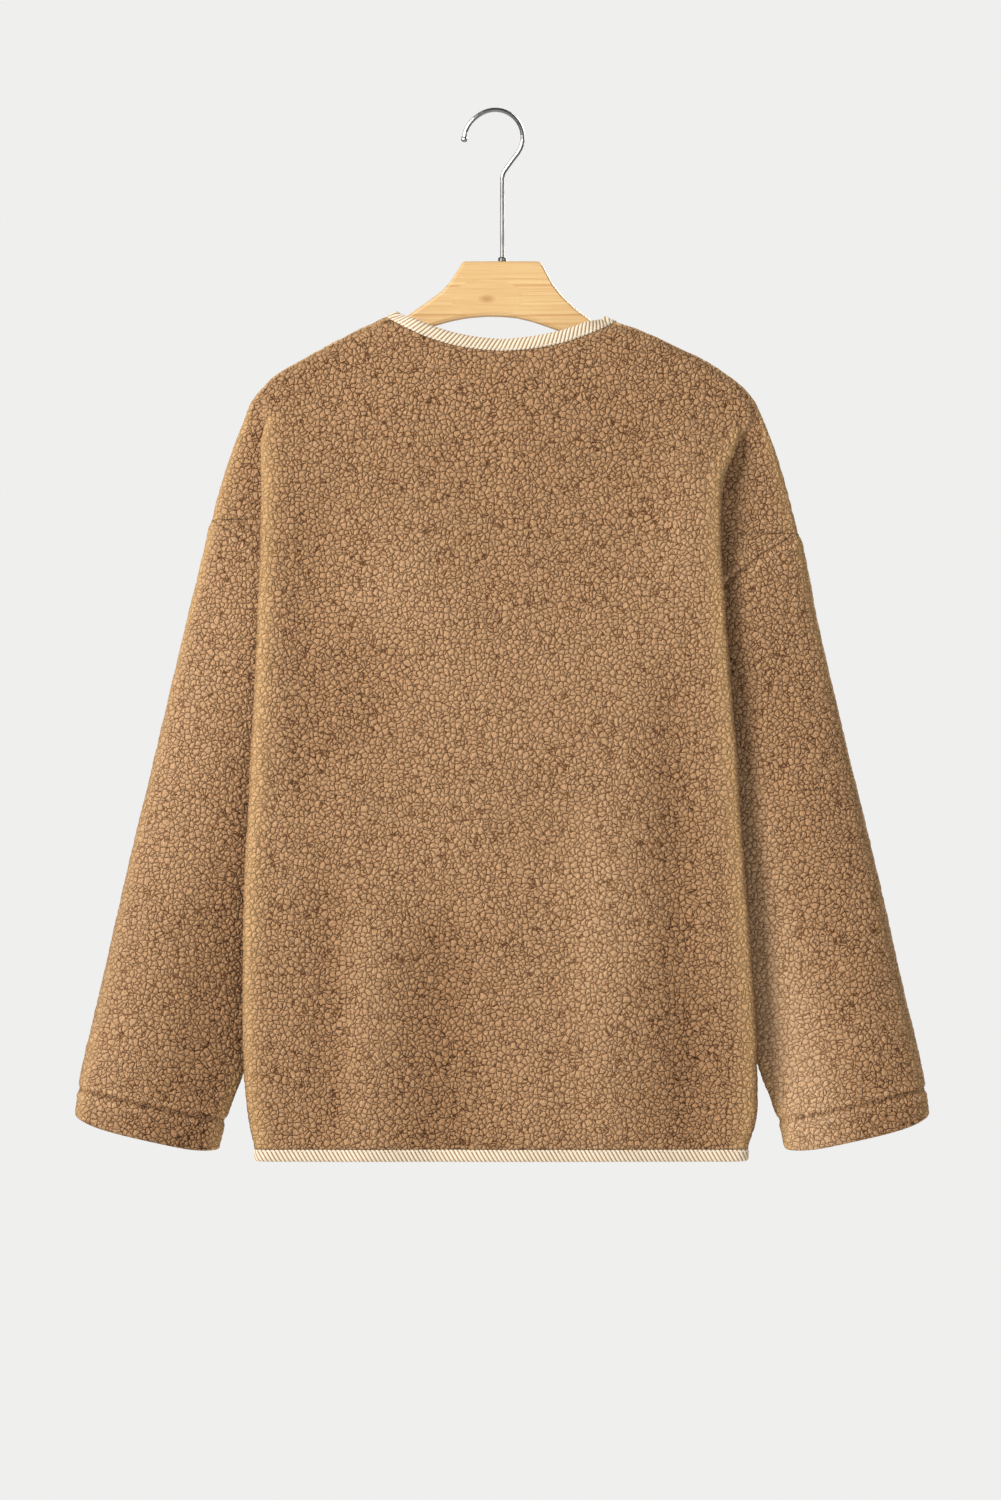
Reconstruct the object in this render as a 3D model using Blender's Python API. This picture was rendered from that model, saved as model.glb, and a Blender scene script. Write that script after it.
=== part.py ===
"""A collarless button-up fleece jacket on a flat wooden hanger, seen from its back.

Units in the tables are millimetres, and MM turns them into metres when a mesh is made.
X runs to the right of the picture, which is the wearer's right. Y runs from the back of the
jacket, at minus Y, to its front. Z is up. The origin is the inside of the hook's top bend.

Every panel is a wall worked out from sections. A section is half of a horizontal cut through
the jacket, from its middle to its side: a smooth curve guided by GUIDES points, which are
read from the tables below at that height. The side of the body is tucked in, as the cloth of
a dropped shoulder falls, so a section turns back at the body's edge, runs inwards as a
hidden leaf, and turns out again over the arm or ends at the side seam.
"""

import math

import bmesh
import bpy
import numpy as np

MM = 0.001

# Driving sizes
MIDDLE_X = 5.4
WALL = 5.0
SEAM_GAP = 0.3
HEM_Z = -831.0
ARMPIT_X = 112.0
ARMPIT_Z = -515.0
BACK_NECK_Z = -193.0
FRONT_NECK_Z = -262.0
NECK_POINT_Z = {-1: -164.5, 1: -168.5}
SHOULDER_END_Z = {-1: -327.0, 1: -338.0}
TUCK_TOP_Z = {-1: -228.0, 1: -238.0}
TUCK_LENGTH = 62.0
TUCK_X = 182.0
TUCK_REACH = 16.0
PRESSED = 1.6
PRESSED_SMOOTHING = 3
FRONT_OVERLAP = 8.0
FRONT_STEP = 7.6

# Binding tape, folded over the cloth's edge
TAPE_THICK = 1.3
TAPE_HEIGHT = 10.0
TONGUE_HALF = 1.0
TONGUE_LENGTH = 8.0

# Sleeve hem, turned up and stitched
HEM_DEPTH_SHARE = 0.93
HEM_GROOVE = 1.6
HEM_WALL = 8.4

# Buttons
BUTTON_RADIUS = 9.0
BUTTON_THICK = 3.6
BUTTON_RIM = 2.2
BUTTON_LIFT = 0.7
BUTTON_HOLE_RADIUS = 1.1
BUTTON_HOLE_PITCH = 2.4
BUTTON_HEIGHTS = (-284.0, -408.0, -532.0, -656.0, -780.0)

# Hanger
WOOD_THICK = 12.0
WOOD_BEVEL = 3.2
WIRE_RADIUS = 1.75
HOOK_BEND_RADIUS = 22.1
HOOK_BALL_RADIUS = 2.7
HOOK_OPENING = 2.4
STEM_X = 0.3
STEM_DEPTH = 16.0
COLLAR_RADIUS = 3.4
COLLAR_HEIGHT = 3.0
WOOD_TOP_Z = -120.0

# Edges of the hanger at distances from its middle
WOOD_COLUMNS = ("x", "top_left", "top_right", "bottom_left", "bottom_right")
WOOD_TABLE = (
    (0.0, -120.0, -120.0, -164.2, -164.5),
    (12.0, -120.0, -120.0, -164.3, -165.6),
    (24.0, -120.0, -120.0, -165.2, -168.4),
    (30.0, -120.2, -120.2, -166.0, -170.3),
    (31.8, -121.2, -121.4, -166.3, -171.0),
    (33.0, -123.2, -123.6, -166.5, -171.4),
    (36.4, -128.6, -130.4, -167.2, -172.6),
    (41.0, -135.6, -138.4, -168.2, -174.2),
    (47.5, -143.2, -146.6, -169.9, -176.8),
    (58.0, -151.2, -156.8, -173.0, -181.2),
    (74.0, -162.4, -169.2, -182.5, -189.0),
    (83.0, -169.8, -174.2, -188.0, -193.8),
    (94.0, -175.2, -179.2, -195.4, -199.0),
    (113.0, -183.0, -185.6, -204.0, -206.2),
    (140.0, -194.6, -195.2, -216.0, -216.2),
    (158.0, -204.8, -204.8, -225.4, -225.4),
    (168.0, -210.8, -210.8, -229.0, -229.0),
    (175.0, -215.4, -215.4, -230.4, -230.4),
    (180.0, -219.4, -219.4, -230.2, -230.2),
    (182.5, -222.4, -222.4, -228.0, -228.0),
)

# Visible sides of the body, its depth before the hanger's plane, and the hidden leaf
BODY_COLUMNS = ("z", "edge_left", "edge_right", "depth_mid", "depth_side", "leaf", "inner")
BODY_TABLE = (
    (-831.0, 198.0, 197.0, 31.0, 29.0, 11.0, 166.0),
    (-800.0, 204.0, 204.5, 32.0, 30.5, 12.5, 164.0),
    (-744.0, 207.6, 204.0, 33.5, 33.0, 16.5, 156.0),
    (-680.0, 207.6, 200.0, 35.0, 35.0, 18.8, 145.0),
    (-616.0, 206.4, 195.6, 36.0, 35.5, 19.0, 131.0),
    (-552.0, 202.8, 190.8, 36.0, 35.5, 18.8, 118.0),
    (-515.0, 201.4, 188.8, 35.5, 35.2, 18.6, 112.0),
    (-488.0, 199.8, 186.4, 34.8, 34.8, 18.2, 107.5),
    (-456.0, 198.0, 183.6, 34.0, 34.0, 18.2, 111.0),
    (-392.0, 195.5, 178.8, 32.0, 33.0, 18.0, 128.0),
    (-338.0, 193.5, 176.0, 29.5, 31.8, 17.0, 144.0),
    (-300.0, 193.0, 177.0, 26.5, 30.6, 14.4, 154.0),
    (-264.0, 192.5, 179.0, 24.0, 29.6, 10.2, 156.0),
    (-236.0, 191.5, 184.0, 21.5, 28.0, 9.0, 158.0),
    (-200.0, 188.0, 188.0, 18.0, 18.0, 10.0, 166.0),
    (-164.5, 188.0, 188.0, 17.0, 17.0, 10.0, 166.0),
)

# Outline of the shoulders and of the outer side of the arms
OUTLINE_COLUMNS = ("z", "left", "right")
OUTLINE_TABLE = (
    (-812.0, 345.0, 345.0),
    (-788.0, 341.5, 341.5),
    (-704.0, 322.4, 322.4),
    (-608.0, 300.8, 300.8),
    (-512.0, 277.6, 277.6),
    (-416.0, 255.2, 255.2),
    (-344.0, 237.8, 241.0),
    (-320.0, 232.8, 235.0),
    (-296.0, 226.4, 228.4),
    (-272.0, 218.4, 221.0),
    (-248.0, 208.8, 211.2),
    (-232.0, 201.6, 203.4),
    (-219.2, 191.4, 192.6),
    (-212.8, 184.8, 184.4),
    (-200.0, 163.6, 165.0),
    (-187.2, 140.0, 138.6),
    (-180.8, 127.5, 124.6),
    (-174.4, 114.2, 109.5),
    (-171.0, 107.0, 99.5),
    (-168.5, 102.6, 92.5),
    (-164.5, 94.0, 92.5),
)

# How the shoulder rounds over: its half thickness, and how far in from the outline it takes
RIDGE_COLUMNS = ("z", "radius", "reach")
RIDGE_TABLE = (
    (-515.0, 14.0, 26.0),
    (-327.0, 14.0, 20.0),
    (-260.0, 14.4, 18.0),
    (-225.0, 14.8, 20.0),
    (-200.0, 14.8, 24.0),
    (-184.0, 17.5, 23.0),
    (-167.0, 20.0, 21.0),
)

# Height of a row's middle for the height of its outer end, on the back and on the fronts
MIDDLE_COLUMNS = ("z", "back", "front")
MIDDLE_TABLE = (
    (-831.0, -831.0, -831.0),
    (-400.0, -400.0, -404.0),
    (-300.0, -300.0, -331.0),
    (-236.0, -248.0, -293.0),
    (-210.0, -227.0, -280.0),
    (-182.0, -204.5, -269.0),
    (-166.5, BACK_NECK_Z, FRONT_NECK_Z),
)

# Inner side of the hanging sleeve, and the heights of the ends of a row around it
SLEEVE_COLUMNS = ("share", "outer_z", "inner_z", "inner_x", "half_thick")
SLEEVE_TABLE = (
    (0.0, SHOULDER_END_Z[-1], ARMPIT_Z, ARMPIT_X, 14.6),
    (0.2, -424.0, -587.0, 139.0, 16.6),
    (0.5, -570.0, -690.0, 177.5, 20.5),
    (0.8, -722.0, -776.0, 209.0, 22.0),
    (0.93, -784.0, -810.0, 221.0, 20.0),
    (1.0, -812.0, -838.0, 227.0, 17.5),
)

# Soft folds of the hanging cloth: a ridge has a height above 0 and a trough below 0
FOLD_COLUMNS = ("x", "top_z", "bottom_z", "lean", "half_width", "height")
BACK_FOLDS = (
    (-154.0, -280.0, -620.0, 0.0, 22.0, -3.6),
    (-104.0, -400.0, -540.0, -10.0, 34.0, -3.2),
    (-140.0, -560.0, -850.0, 6.0, 18.0, -3.6),
    (-106.0, -600.0, -900.0, -4.0, 20.0, 3.6),
    (-46.0, -590.0, -900.0, -4.0, 24.0, -5.0),
    (78.0, -500.0, -900.0, 4.0, 26.0, 4.6),
    (132.0, -400.0, -900.0, 22.0, 20.0, -5.4),
    (-74.0, -300.0, -450.0, 0.0, 34.0, 2.8),
    (148.0, -240.0, -400.0, 0.0, 22.0, 2.6),
    (20.0, -640.0, -880.0, 6.0, 26.0, 2.4),
)
FRONT_FOLDS = (
    (-150.0, -240.0, -620.0, 4.0, 24.0, -3.4),
    (-96.0, -420.0, -900.0, -8.0, 24.0, 4.0),
    (-52.0, -560.0, -900.0, 4.0, 20.0, -3.6),
    (150.0, -250.0, -560.0, 0.0, 24.0, -3.2),
    (98.0, -360.0, -900.0, 10.0, 26.0, 4.4),
    (56.0, -600.0, -900.0, 0.0, 20.0, -3.4),
)

# Soft creases across the sleeves. Their columns are the share of the sleeve's length and of
# its width, the half sizes as shares, and the height
CREASE_COLUMNS = ("along", "across", "half_along", "half_across", "height")
SLEEVE_CREASES = (
    (0.16, 0.30, 0.05, 0.32, -1.8),
    (0.34, 0.42, 0.06, 0.30, 1.8),
    (0.52, 0.30, 0.05, 0.30, -1.6),
    (0.72, 0.40, 0.07, 0.34, 1.4),
)

# Places along a section where a solid's points are taken, counted in spans of its guides
BACK_STATIONS = (
    0.0, 0.6, 1.3, 2.0, 2.8, 3.5, 4.1, 4.9, 5.5, 6.5, 7.5, 8.15, 8.85, 9.8, 10.8, 11.5, 12.0,
)
FRONT_STATIONS = BACK_STATIONS[:1] + (0.15, 0.4) + BACK_STATIONS[2:]
GUIDES = 15
ARM_GUIDES = 8
ARM_SAMPLES = 9
NORMAL_SMOOTHING = 2
SLEEVE_SHARES = (0.0, 0.07, 0.16, 0.28, 0.42, 0.56, 0.70, 0.82, 0.915, 0.93, 0.945, 0.985, 1.0)
LOWER_LEVELS = (HEM_Z, -790.0, -738.0, -680.0, -618.0, -560.0)
UPPER_LEVELS = (-298.0, -272.0, -250.0, -232.0, -214.0, -195.0, -180.0, -173.0)


def columns_of(table, names):
    """The table's columns by name, in rising order of the first."""
    rows = np.array(sorted(table), float)
    return {name: rows[:, i] for i, name in enumerate(names)}


def smooth(x, xs, ys):
    """A smooth curve through the points, which doesn't overshoot them, read at x."""
    x = np.clip(np.asarray(x, float), xs[0], xs[-1])
    step = np.diff(xs)
    slope = np.diff(ys) / step
    tangent = np.zeros(len(xs))
    same = slope[:-1] * slope[1:] > 0
    w1, w2 = 2 * step[1:] + step[:-1], step[1:] + 2 * step[:-1]
    inner = np.zeros(len(slope) - 1)
    inner[same] = (w1 + w2)[same] / (w1[same] / slope[:-1][same] + w2[same] / slope[1:][same])
    tangent[1:-1] = inner
    tangent[0], tangent[-1] = slope[0], slope[-1]
    i = np.clip(np.searchsorted(xs, x) - 1, 0, len(step) - 1)
    t = (x - xs[i]) / step[i]
    return (
        ys[i] * (1 + 2 * t) * (1 - t) ** 2
        + tangent[i] * step[i] * t * (1 - t) ** 2
        + ys[i + 1] * t * t * (3 - 2 * t)
        + tangent[i + 1] * step[i] * t * t * (t - 1)
    )


BODY = columns_of(BODY_TABLE, BODY_COLUMNS)
OUTLINE = columns_of(OUTLINE_TABLE, OUTLINE_COLUMNS)
RIDGE = columns_of(RIDGE_TABLE, RIDGE_COLUMNS)
MIDDLE = columns_of(MIDDLE_TABLE, MIDDLE_COLUMNS)
SLEEVE = columns_of(SLEEVE_TABLE, SLEEVE_COLUMNS)
WOOD = columns_of(WOOD_TABLE, WOOD_COLUMNS)


def read(columns, name, at):
    """One column of a table, at a value of its first column."""
    return smooth(at, next(iter(columns.values())), columns[name])


def ease(x):
    """0 below 0, 1 above 1, and a smooth step between."""
    x = np.clip(x, 0.0, 1.0)
    return x * x * (3 - 2 * x)


def mix(a, b, share):
    return a + (b - a) * share


def unit(v):
    return v / np.maximum(np.linalg.norm(v, axis=-1, keepdims=True), 1e-9)


def spline_weights(count, at):
    """Weights of count guide points at places from 0 to 1 of a clamped cubic spline."""
    spans = count - 3
    knots = np.concatenate([[0.0] * 3, np.arange(spans + 1) / spans, [1.0] * 3])
    at = np.clip(np.atleast_1d(np.asarray(at, float)), 0.0, 1.0 - 1e-9)
    weights = ((at[:, None] >= knots[:-1]) & (at[:, None] < knots[1:])).astype(float)
    for degree in range(1, 4):
        low, high = knots[: -degree - 1], knots[degree + 1 :]
        width_left = np.maximum(knots[degree:-1] - knots[: -degree - 1], 1e-12)
        width_right = np.maximum(knots[degree + 1 :] - knots[1:-degree], 1e-12)
        weights = (
            weights[:, :-1] * (at[:, None] - low) / width_left
            + weights[:, 1:] * (high - at[:, None]) / width_right
        )
    return weights


def outline_x(z, side):
    return read(OUTLINE, "left" if side < 0 else "right", z)


def arm_line(share, across, side):
    """A place on the line across the arm, in the hanger's plane: 0 is its outer side."""
    drop = (SHOULDER_END_Z[side] - SHOULDER_END_Z[-1]) * (1 - share) ** 2
    outer_z = read(SLEEVE, "outer_z", share) + drop
    inner_z = read(SLEEVE, "inner_z", share)
    outer_x = outline_x(outer_z, side)
    inner_x = read(SLEEVE, "inner_x", share)
    bulge = 2 * across * (1 - across) * np.clip(1 - share / 0.35, 0, 1) ** 2
    low_end = ease((share - 0.9) / 0.1)
    outer_turn = np.clip(1 - across / 0.22, 0, 1) ** 2
    inner_turn = np.clip((across - 0.86) / 0.14, 0, 1) ** 2
    x = mix(outer_x, inner_x, across) - 24.0 * bulge - 2.0 * low_end * outer_turn
    z = mix(outer_z, inner_z, across) + 61.0 * bulge + low_end * (6.0 * outer_turn + 5.0 * inner_turn)
    return x, z


def arm_guides(share, side):
    """Guides of half a loop round the arm, from its outer side over its back to its inner side."""
    across = np.array([0.0, 0.0, 0.10, 0.34, 0.62, 0.86, 1.0, 1.0])
    thick = np.array([0.0, 0.62, 1.04, 1.10, 0.92, 0.84, 0.52, 0.0])
    half = read(SLEEVE, "half_thick", share)
    tuck = ease((0.62 - share) / 0.3)
    thick[4:7] *= mix(1.0, 0.92, tuck)
    x, z = arm_line(share, across, side)
    return np.stack([x, -half * thick, z], axis=1)


def arm_loop(share, side, samples=ARM_SAMPLES):
    """Half a loop round the arm at a share of its length below the shoulder's end."""
    at = np.linspace(0.0, 1.0, samples + 1)
    return spline_weights(ARM_GUIDES, at) @ arm_guides(share, side)


def plain_guides(level, side):
    """Guides of a section over the shoulder, where nothing is tucked."""
    end = outline_x(level, side)
    radius, reach = read(RIDGE, "radius", level), read(RIDGE, "reach", level)
    depth = read(BODY, "depth_mid", level)
    near = np.array([46.0, 37.0, 30.0, 25.0, 20.5, 16.5, 12.5, 9.0, 5.5, 1.2, 0.0])
    near = near * reach / 27.0
    far = end - (end - near[0]) * np.array([0.0, 0.32, 0.62, 0.85])
    distance = np.concatenate([far, near])
    rounded = np.sqrt(np.clip(1 - (1 - np.clip(distance / reach, 0, 1)) ** 2, 0, 1))
    y = -rounded * mix(radius, depth, ease((distance - reach) / 60.0))
    y[-2:] = -0.5 * radius, 0.0
    x = end - distance
    x[-2:] = end
    return x, y


def tucked_guides(level, side, end):
    """Guides of a section that turns back at the body's edge. end is where it ends, as (x, y)."""
    edge = read(BODY, "edge_left" if side < 0 else "edge_right", level)
    mid, near = read(BODY, "depth_mid", level), read(BODY, "depth_side", level)
    leaf, inner = read(BODY, "leaf", level), read(BODY, "inner", level)
    step = near - leaf
    turn_x = edge + 0.042 * step
    front = [
        (0.0, mid), (0.28 * edge, mid), (0.56 * edge, mix(mid, near, 0.5)),
        (turn_x - 2.0 * step, near), (turn_x - step, near), (turn_x, near), (turn_x, leaf),
        (turn_x - step, leaf),
    ]
    room = turn_x - step - inner
    side_y = -end[1]
    closing = [
        (inner + 0.64 * room, leaf), (inner + min(15.0, 0.34 * room), leaf),
        (inner + min(4.0, 0.1 * room), mix(side_y, leaf, 0.92)), (inner, mix(side_y, leaf, 0.72)),
        (mix(inner, end[0], 0.3), mix(side_y, leaf, 0.48)),
        (mix(inner, end[0], 0.7), mix(side_y, leaf, 0.24)), (end[0], side_y),
    ]
    turn = leaf - 4.0
    radius = read(RIDGE, "radius", level)
    seam = ease(side_y / 11.0)
    arm_y = max(radius, side_y)
    opening = [
        (inner + 0.6 * room, leaf), (inner + 6.0, leaf), (inner - 3.0, leaf - 1.0),
        (inner + 3.0, turn), (mix(inner + 3.0, end[0], 0.52), mix(turn, arm_y, 0.6)),
        (mix(inner + 3.0, end[0], mix(1.0, 0.85, seam)), mix(0.55 * radius, side_y, seam)),
        (end[0], side_y),
    ]
    share = ease((level - ARMPIT_Z) / 45.0)
    rest = [tuple(mix(np.array(a), np.array(b), share)) for a, b in zip(closing, opening)]
    points = np.array(front + rest)
    return points[:, 0], -points[:, 1]


def section_guides(level, side, middle_z, end=None):
    """Guides of half a section. end is its last point where that lies on the armhole seam."""
    if end is None:
        x = read(BODY, "inner", level) if level < ARMPIT_Z else outline_x(level, side)
        end = (x, 0.0, level)
    tucked = ease((TUCK_TOP_Z[side] - level) / TUCK_LENGTH)
    plain_x, plain_y = plain_guides(max(level, SHOULDER_END_Z[side]), side)
    tucked_x, tucked_y = tucked_guides(level, side, end)
    x, y = mix(plain_x, tucked_x, tucked), mix(plain_y, tucked_y, tucked)
    flat = 0.8 * read(RIDGE, "reach", level) * ease((NECK_POINT_Z[side] - level) / 24.0)
    place = np.clip(x / mix(x[-1] - flat, x[5], tucked), 0, 1) ** 2.1
    place[5:] = mix(place[5:], 1.0, tucked)
    z = middle_z + (level - middle_z) * place
    z[-1] = end[2]
    return np.stack([x, y, z], axis=1)


def relief(x, z, folds):
    """Height of the soft folds at a place on a panel."""
    total = np.zeros_like(x)
    for row in folds:
        fold = dict(zip(FOLD_COLUMNS, row))
        length = fold["top_z"] - fold["bottom_z"]
        down = (fold["top_z"] - z) / length
        centre = fold["x"] + fold["lean"] * down
        width = np.exp(-(((x - centre) / fold["half_width"]) ** 2))
        total += fold["height"] * width * ease(down / 0.3) * ease((1 - down) / 0.3)
    return total


def half_panel(side, face, ends, stations):
    """Outer points of half a panel, [row, place, xyz]: face is -1 for the back and 1 for a front."""
    folds, column = (BACK_FOLDS, "back") if face < 0 else (FRONT_FOLDS, "front")
    at = np.asarray(stations) / (GUIDES - 3)
    weights = spline_weights(GUIDES, at)
    cover = 1 - ease((at - 3.6 / 12) / (1.2 / 12))
    rows = []
    for level, other_level, end in ends:
        average = 0.5 * (level + other_level)
        middle_z = read(MIDDLE, column, average)
        points = weights @ section_guides(level, side, middle_z, end)
        points[:, 0] *= side
        fade = ease((NECK_POINT_Z[1] - 8.0 - points[:, 2]) / 60.0)
        points[:, 1] -= relief(points[:, 0], points[:, 2], folds) * cover * fade
        points[:, 1] *= -face
        rows.append(points)
    return np.array(rows)


def row_ends(side):
    """(level, the other side's level, end) of each row, from the hem up to the neck point."""
    seams = {s: arm_loop(0.0, s)[::-1] for s in (-1, 1)}
    rows = [(level, level, None) for level in LOWER_LEVELS]
    for own, other in zip(seams[side], seams[-side]):
        rows.append((own[2], other[2], tuple(own)))
    rows += [(level, level, None) for level in UPPER_LEVELS]
    rows.append((NECK_POINT_Z[side], NECK_POINT_Z[-side], None))
    return rows


def grid_normals(grid, closed=False):
    """Normals of a grid of points, [row, place]."""
    along = np.gradient(grid, axis=0)
    if closed:
        across = np.roll(grid, -1, axis=1) - np.roll(grid, 1, axis=1)
    else:
        across = np.gradient(grid, axis=1)
    normals = unit(np.cross(across, along))
    if closed:
        return normals
    for _ in range(NORMAL_SMOOTHING):
        padded = np.concatenate([normals[:, :1], normals, normals[:, -1:]], axis=1)
        normals = unit(padded[:, :-2] + 2 * normals + padded[:, 2:])
    return normals


def mesh_object(name, points, faces, material):
    """A closed object from points in millimetres, with its triangles facing out."""
    mesh = bpy.data.meshes.new(name)
    placed = np.asarray(points, float) + np.array([MIDDLE_X, 0.0, 0.0])
    mesh.from_pydata([tuple(p * MM) for p in placed], [], [tuple(f) for f in faces])
    work = bmesh.new()
    work.from_mesh(mesh)
    bmesh.ops.recalc_face_normals(work, faces=work.faces)
    bmesh.ops.triangulate(work, faces=work.faces, quad_method="FIXED")
    if work.calc_volume(signed=True) < 0:
        bmesh.ops.reverse_faces(work, faces=work.faces)
    work.to_mesh(mesh)
    work.free()
    mesh.materials.append(material)
    mesh.shade_smooth()
    mesh.set_sharp_from_angle(angle=math.radians(40))
    made = bpy.data.objects.new(name, mesh)
    bpy.context.scene.collection.objects.link(made)
    return made


def material(name, colour, roughness, metallic=0.0):
    made = bpy.data.materials.new(name)
    made.use_nodes = True
    shader = made.node_tree.nodes["Principled BSDF"]
    shader.inputs["Base Color"].default_value = (*colour, 1.0)
    shader.inputs["Roughness"].default_value = roughness
    shader.inputs["Metallic"].default_value = metallic
    return made


def bound_edge(points, normals, outward):
    """The rim of a bound edge: the wall's edge, and the thin tongue that the tape covers."""
    centre = points - 0.5 * WALL * normals
    start = centre + 0.2 * outward
    tip = centre + TONGUE_LENGTH * outward
    return [
        start + TONGUE_HALF * normals,
        tip + TONGUE_HALF * normals,
        tip - TONGUE_HALF * normals,
        start - TONGUE_HALF * normals,
    ]


def tuck_start(grid):
    """1 where the tuck begins, falling to 0 away from it."""
    top = np.where(grid[:, :, 0] < 0, TUCK_TOP_Z[-1], TUCK_TOP_Z[1])
    down = (grid[:, :, 2] - top + 0.5 * TUCK_LENGTH) / (0.5 * TUCK_LENGTH)
    across = (np.abs(grid[:, :, 0]) - TUCK_X) / TUCK_REACH
    return np.exp(-(down**2) - across**2)[:, :, None]


def inner_points(grid, normals):
    """The wall's inner face. Where the tuck begins the cloth is pressed, and its folds are soft."""
    pressed = tuck_start(grid)
    inner = grid - (WALL - PRESSED * pressed) * normals
    for _ in range(PRESSED_SMOOTHING):
        middle = 0.5 * (inner[:, :-2] + inner[:, 2:])
        inner[:, 1:-1] += 0.7 * pressed[:, 1:-1] * (middle - inner[:, 1:-1])
    return inner


def panel_solid(name, grid, normals, edges, paint):
    """A wall from a grid of outer points. edges lists, round the border, (row and place
    numbers, outward directions or None for a plain seam)."""
    rows, places = grid.shape[:2]
    inner = inner_points(grid, normals)
    points = list(grid.reshape(-1, 3)) + list(inner.reshape(-1, 3))
    count = rows * places
    faces = []
    for r in range(rows - 1):
        for p in range(places - 1):
            a = r * places + p
            quad = (a, a + 1, a + places + 1, a + places)
            faces.append(quad)
            faces.append(tuple(count + i for i in reversed(quad)))
    for border, outward in edges:
        outer_ids = [r * places + p for r, p in border]
        if outward is None:
            for a, b in zip(outer_ids, outer_ids[1:]):
                faces.append((b, a, count + a, count + b))
            continue
        edge_points = np.array([grid[r, p] for r, p in border])
        edge_normals = np.array([normals[r, p] for r, p in border])
        strips = [outer_ids]
        for strip in bound_edge(edge_points, edge_normals, outward):
            strips.append(list(range(len(points), len(points) + len(strip))))
            points += list(strip)
        strips.append([count + i for i in outer_ids])
        for upper, lower in zip(strips, strips[1:]):
            for k in range(len(outer_ids) - 1):
                faces.append((upper[k + 1], upper[k], lower[k], lower[k + 1]))
        faces.append(tuple(s[0] for s in strips))
        faces.append(tuple(s[-1] for s in reversed(strips)))
    return mesh_object(name, points, faces, paint)


def outward_of(grid, normals, border, straight=None):
    """Directions out of the cloth at a border, in the cloth's own surface."""
    if straight is not None:
        return np.array([straight] * len(border), float)
    edge = np.array([grid[r, p] for r, p in border])
    edge_normals = np.array([normals[r, p] for r, p in border])
    along = unit(np.gradient(edge, axis=0))
    out = unit(np.cross(along, edge_normals))
    inside = np.array([grid[r - 1 if r > 0 else r + 1, p] for r, p in border])
    if ((edge - inside) * out).sum() < 0:
        out = -out
    return out


def tape(name, points, normals, outward, paint, closed=False):
    """Folded tape round a cloth edge, as a channel swept along it."""
    centre = points - 0.5 * WALL * normals
    inside_half = TONGUE_HALF + 0.35
    outside_half = inside_half + TAPE_THICK
    mouth, floor = 0.55, TONGUE_LENGTH + 0.4
    top = TAPE_HEIGHT
    profile = (
        (mouth, outside_half), (top - 1.4, outside_half), (top, 0.0), (top - 1.4, -outside_half),
        (mouth, -outside_half), (mouth, -inside_half), (floor, -inside_half), (floor, inside_half),
        (mouth, inside_half),
    )
    rings = np.array([centre + out * outward + up * normals for out, up in profile])
    stations, sides = rings.shape[1], len(profile)
    solid_points = rings.transpose(1, 0, 2).reshape(-1, 3)
    faces = []
    for s in range(stations if closed else stations - 1):
        for k in range(sides):
            a, b = s * sides + k, s * sides + (k + 1) % sides
            c, d = ((s + 1) % stations) * sides + (k + 1) % sides, ((s + 1) % stations) * sides + k
            faces.append((a, b, c, d))
    if not closed:
        faces.append(tuple(range(sides - 1, -1, -1)))
        faces.append(tuple((stations - 1) * sides + k for k in range(sides)))
    return mesh_object(name, solid_points, faces, paint)


def wood_profile(x, side):
    """Top and bottom of the hanger at a distance from its middle."""
    top = read(WOOD, "top_left" if side < 0 else "top_right", x)
    return top, read(WOOD, "bottom_left" if side < 0 else "bottom_right", x)


def hanger_body(paint):
    """The wooden hanger, lofted from its left tip to its right one."""
    half = 0.5 * WOOD_THICK
    turn = [math.radians(a) for a in (0, 45, 90)]
    corner = [(math.sin(a), math.cos(a)) for a in turn]
    sections = []
    distances = [row[0] for row in WOOD_TABLE]
    for x in [-d for d in reversed(distances)] + distances[1:]:
        side = -1 if x < 0 else 1
        top, bottom = wood_profile(abs(x), side)
        bevel = min(WOOD_BEVEL, 0.35 * (top - bottom))
        narrow = half * math.sqrt(1 - 0.75 * max(0.0, (abs(x) - 168.0) / 16.5) ** 2)
        section = []
        for sign_y, sign_z in ((1, 1), (1, -1), (-1, -1), (-1, 1)):
            arc = corner if sign_y * sign_z > 0 else corner[::-1]
            for across, up in arc:
                y = sign_y * (narrow - bevel * (1 - across))
                middle = top if sign_z > 0 else bottom
                section.append((x, y, middle - sign_z * bevel * (1 - up)))
        sections.append(section)
    sides = len(sections[0])
    points = [p for section in sections for p in section]
    faces = []
    for s in range(len(sections) - 1):
        for k in range(sides):
            a, b = s * sides + k, s * sides + (k + 1) % sides
            faces.append((a, b, b + sides, a + sides))
    faces.append(tuple(range(sides)))
    faces.append(tuple(range(len(points) - 1, len(points) - sides - 1, -1)))
    body = mesh_object("hanger_body", points, faces, paint)
    bpy.ops.mesh.primitive_cylinder_add(
        vertices=24,
        radius=(WIRE_RADIUS + SEAM_GAP) * MM,
        depth=2 * STEM_DEPTH * MM,
        location=((MIDDLE_X + STEM_X) * MM, 0.0, WOOD_TOP_Z * MM),
    )
    cutter = bpy.context.object
    cutter.name = "stem_hole"
    cutter.hide_render = True
    hole = body.modifiers.new("stem hole", "BOOLEAN")
    hole.operation = "DIFFERENCE"
    hole.solver = "EXACT"
    hole.object = cutter
    return body


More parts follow.
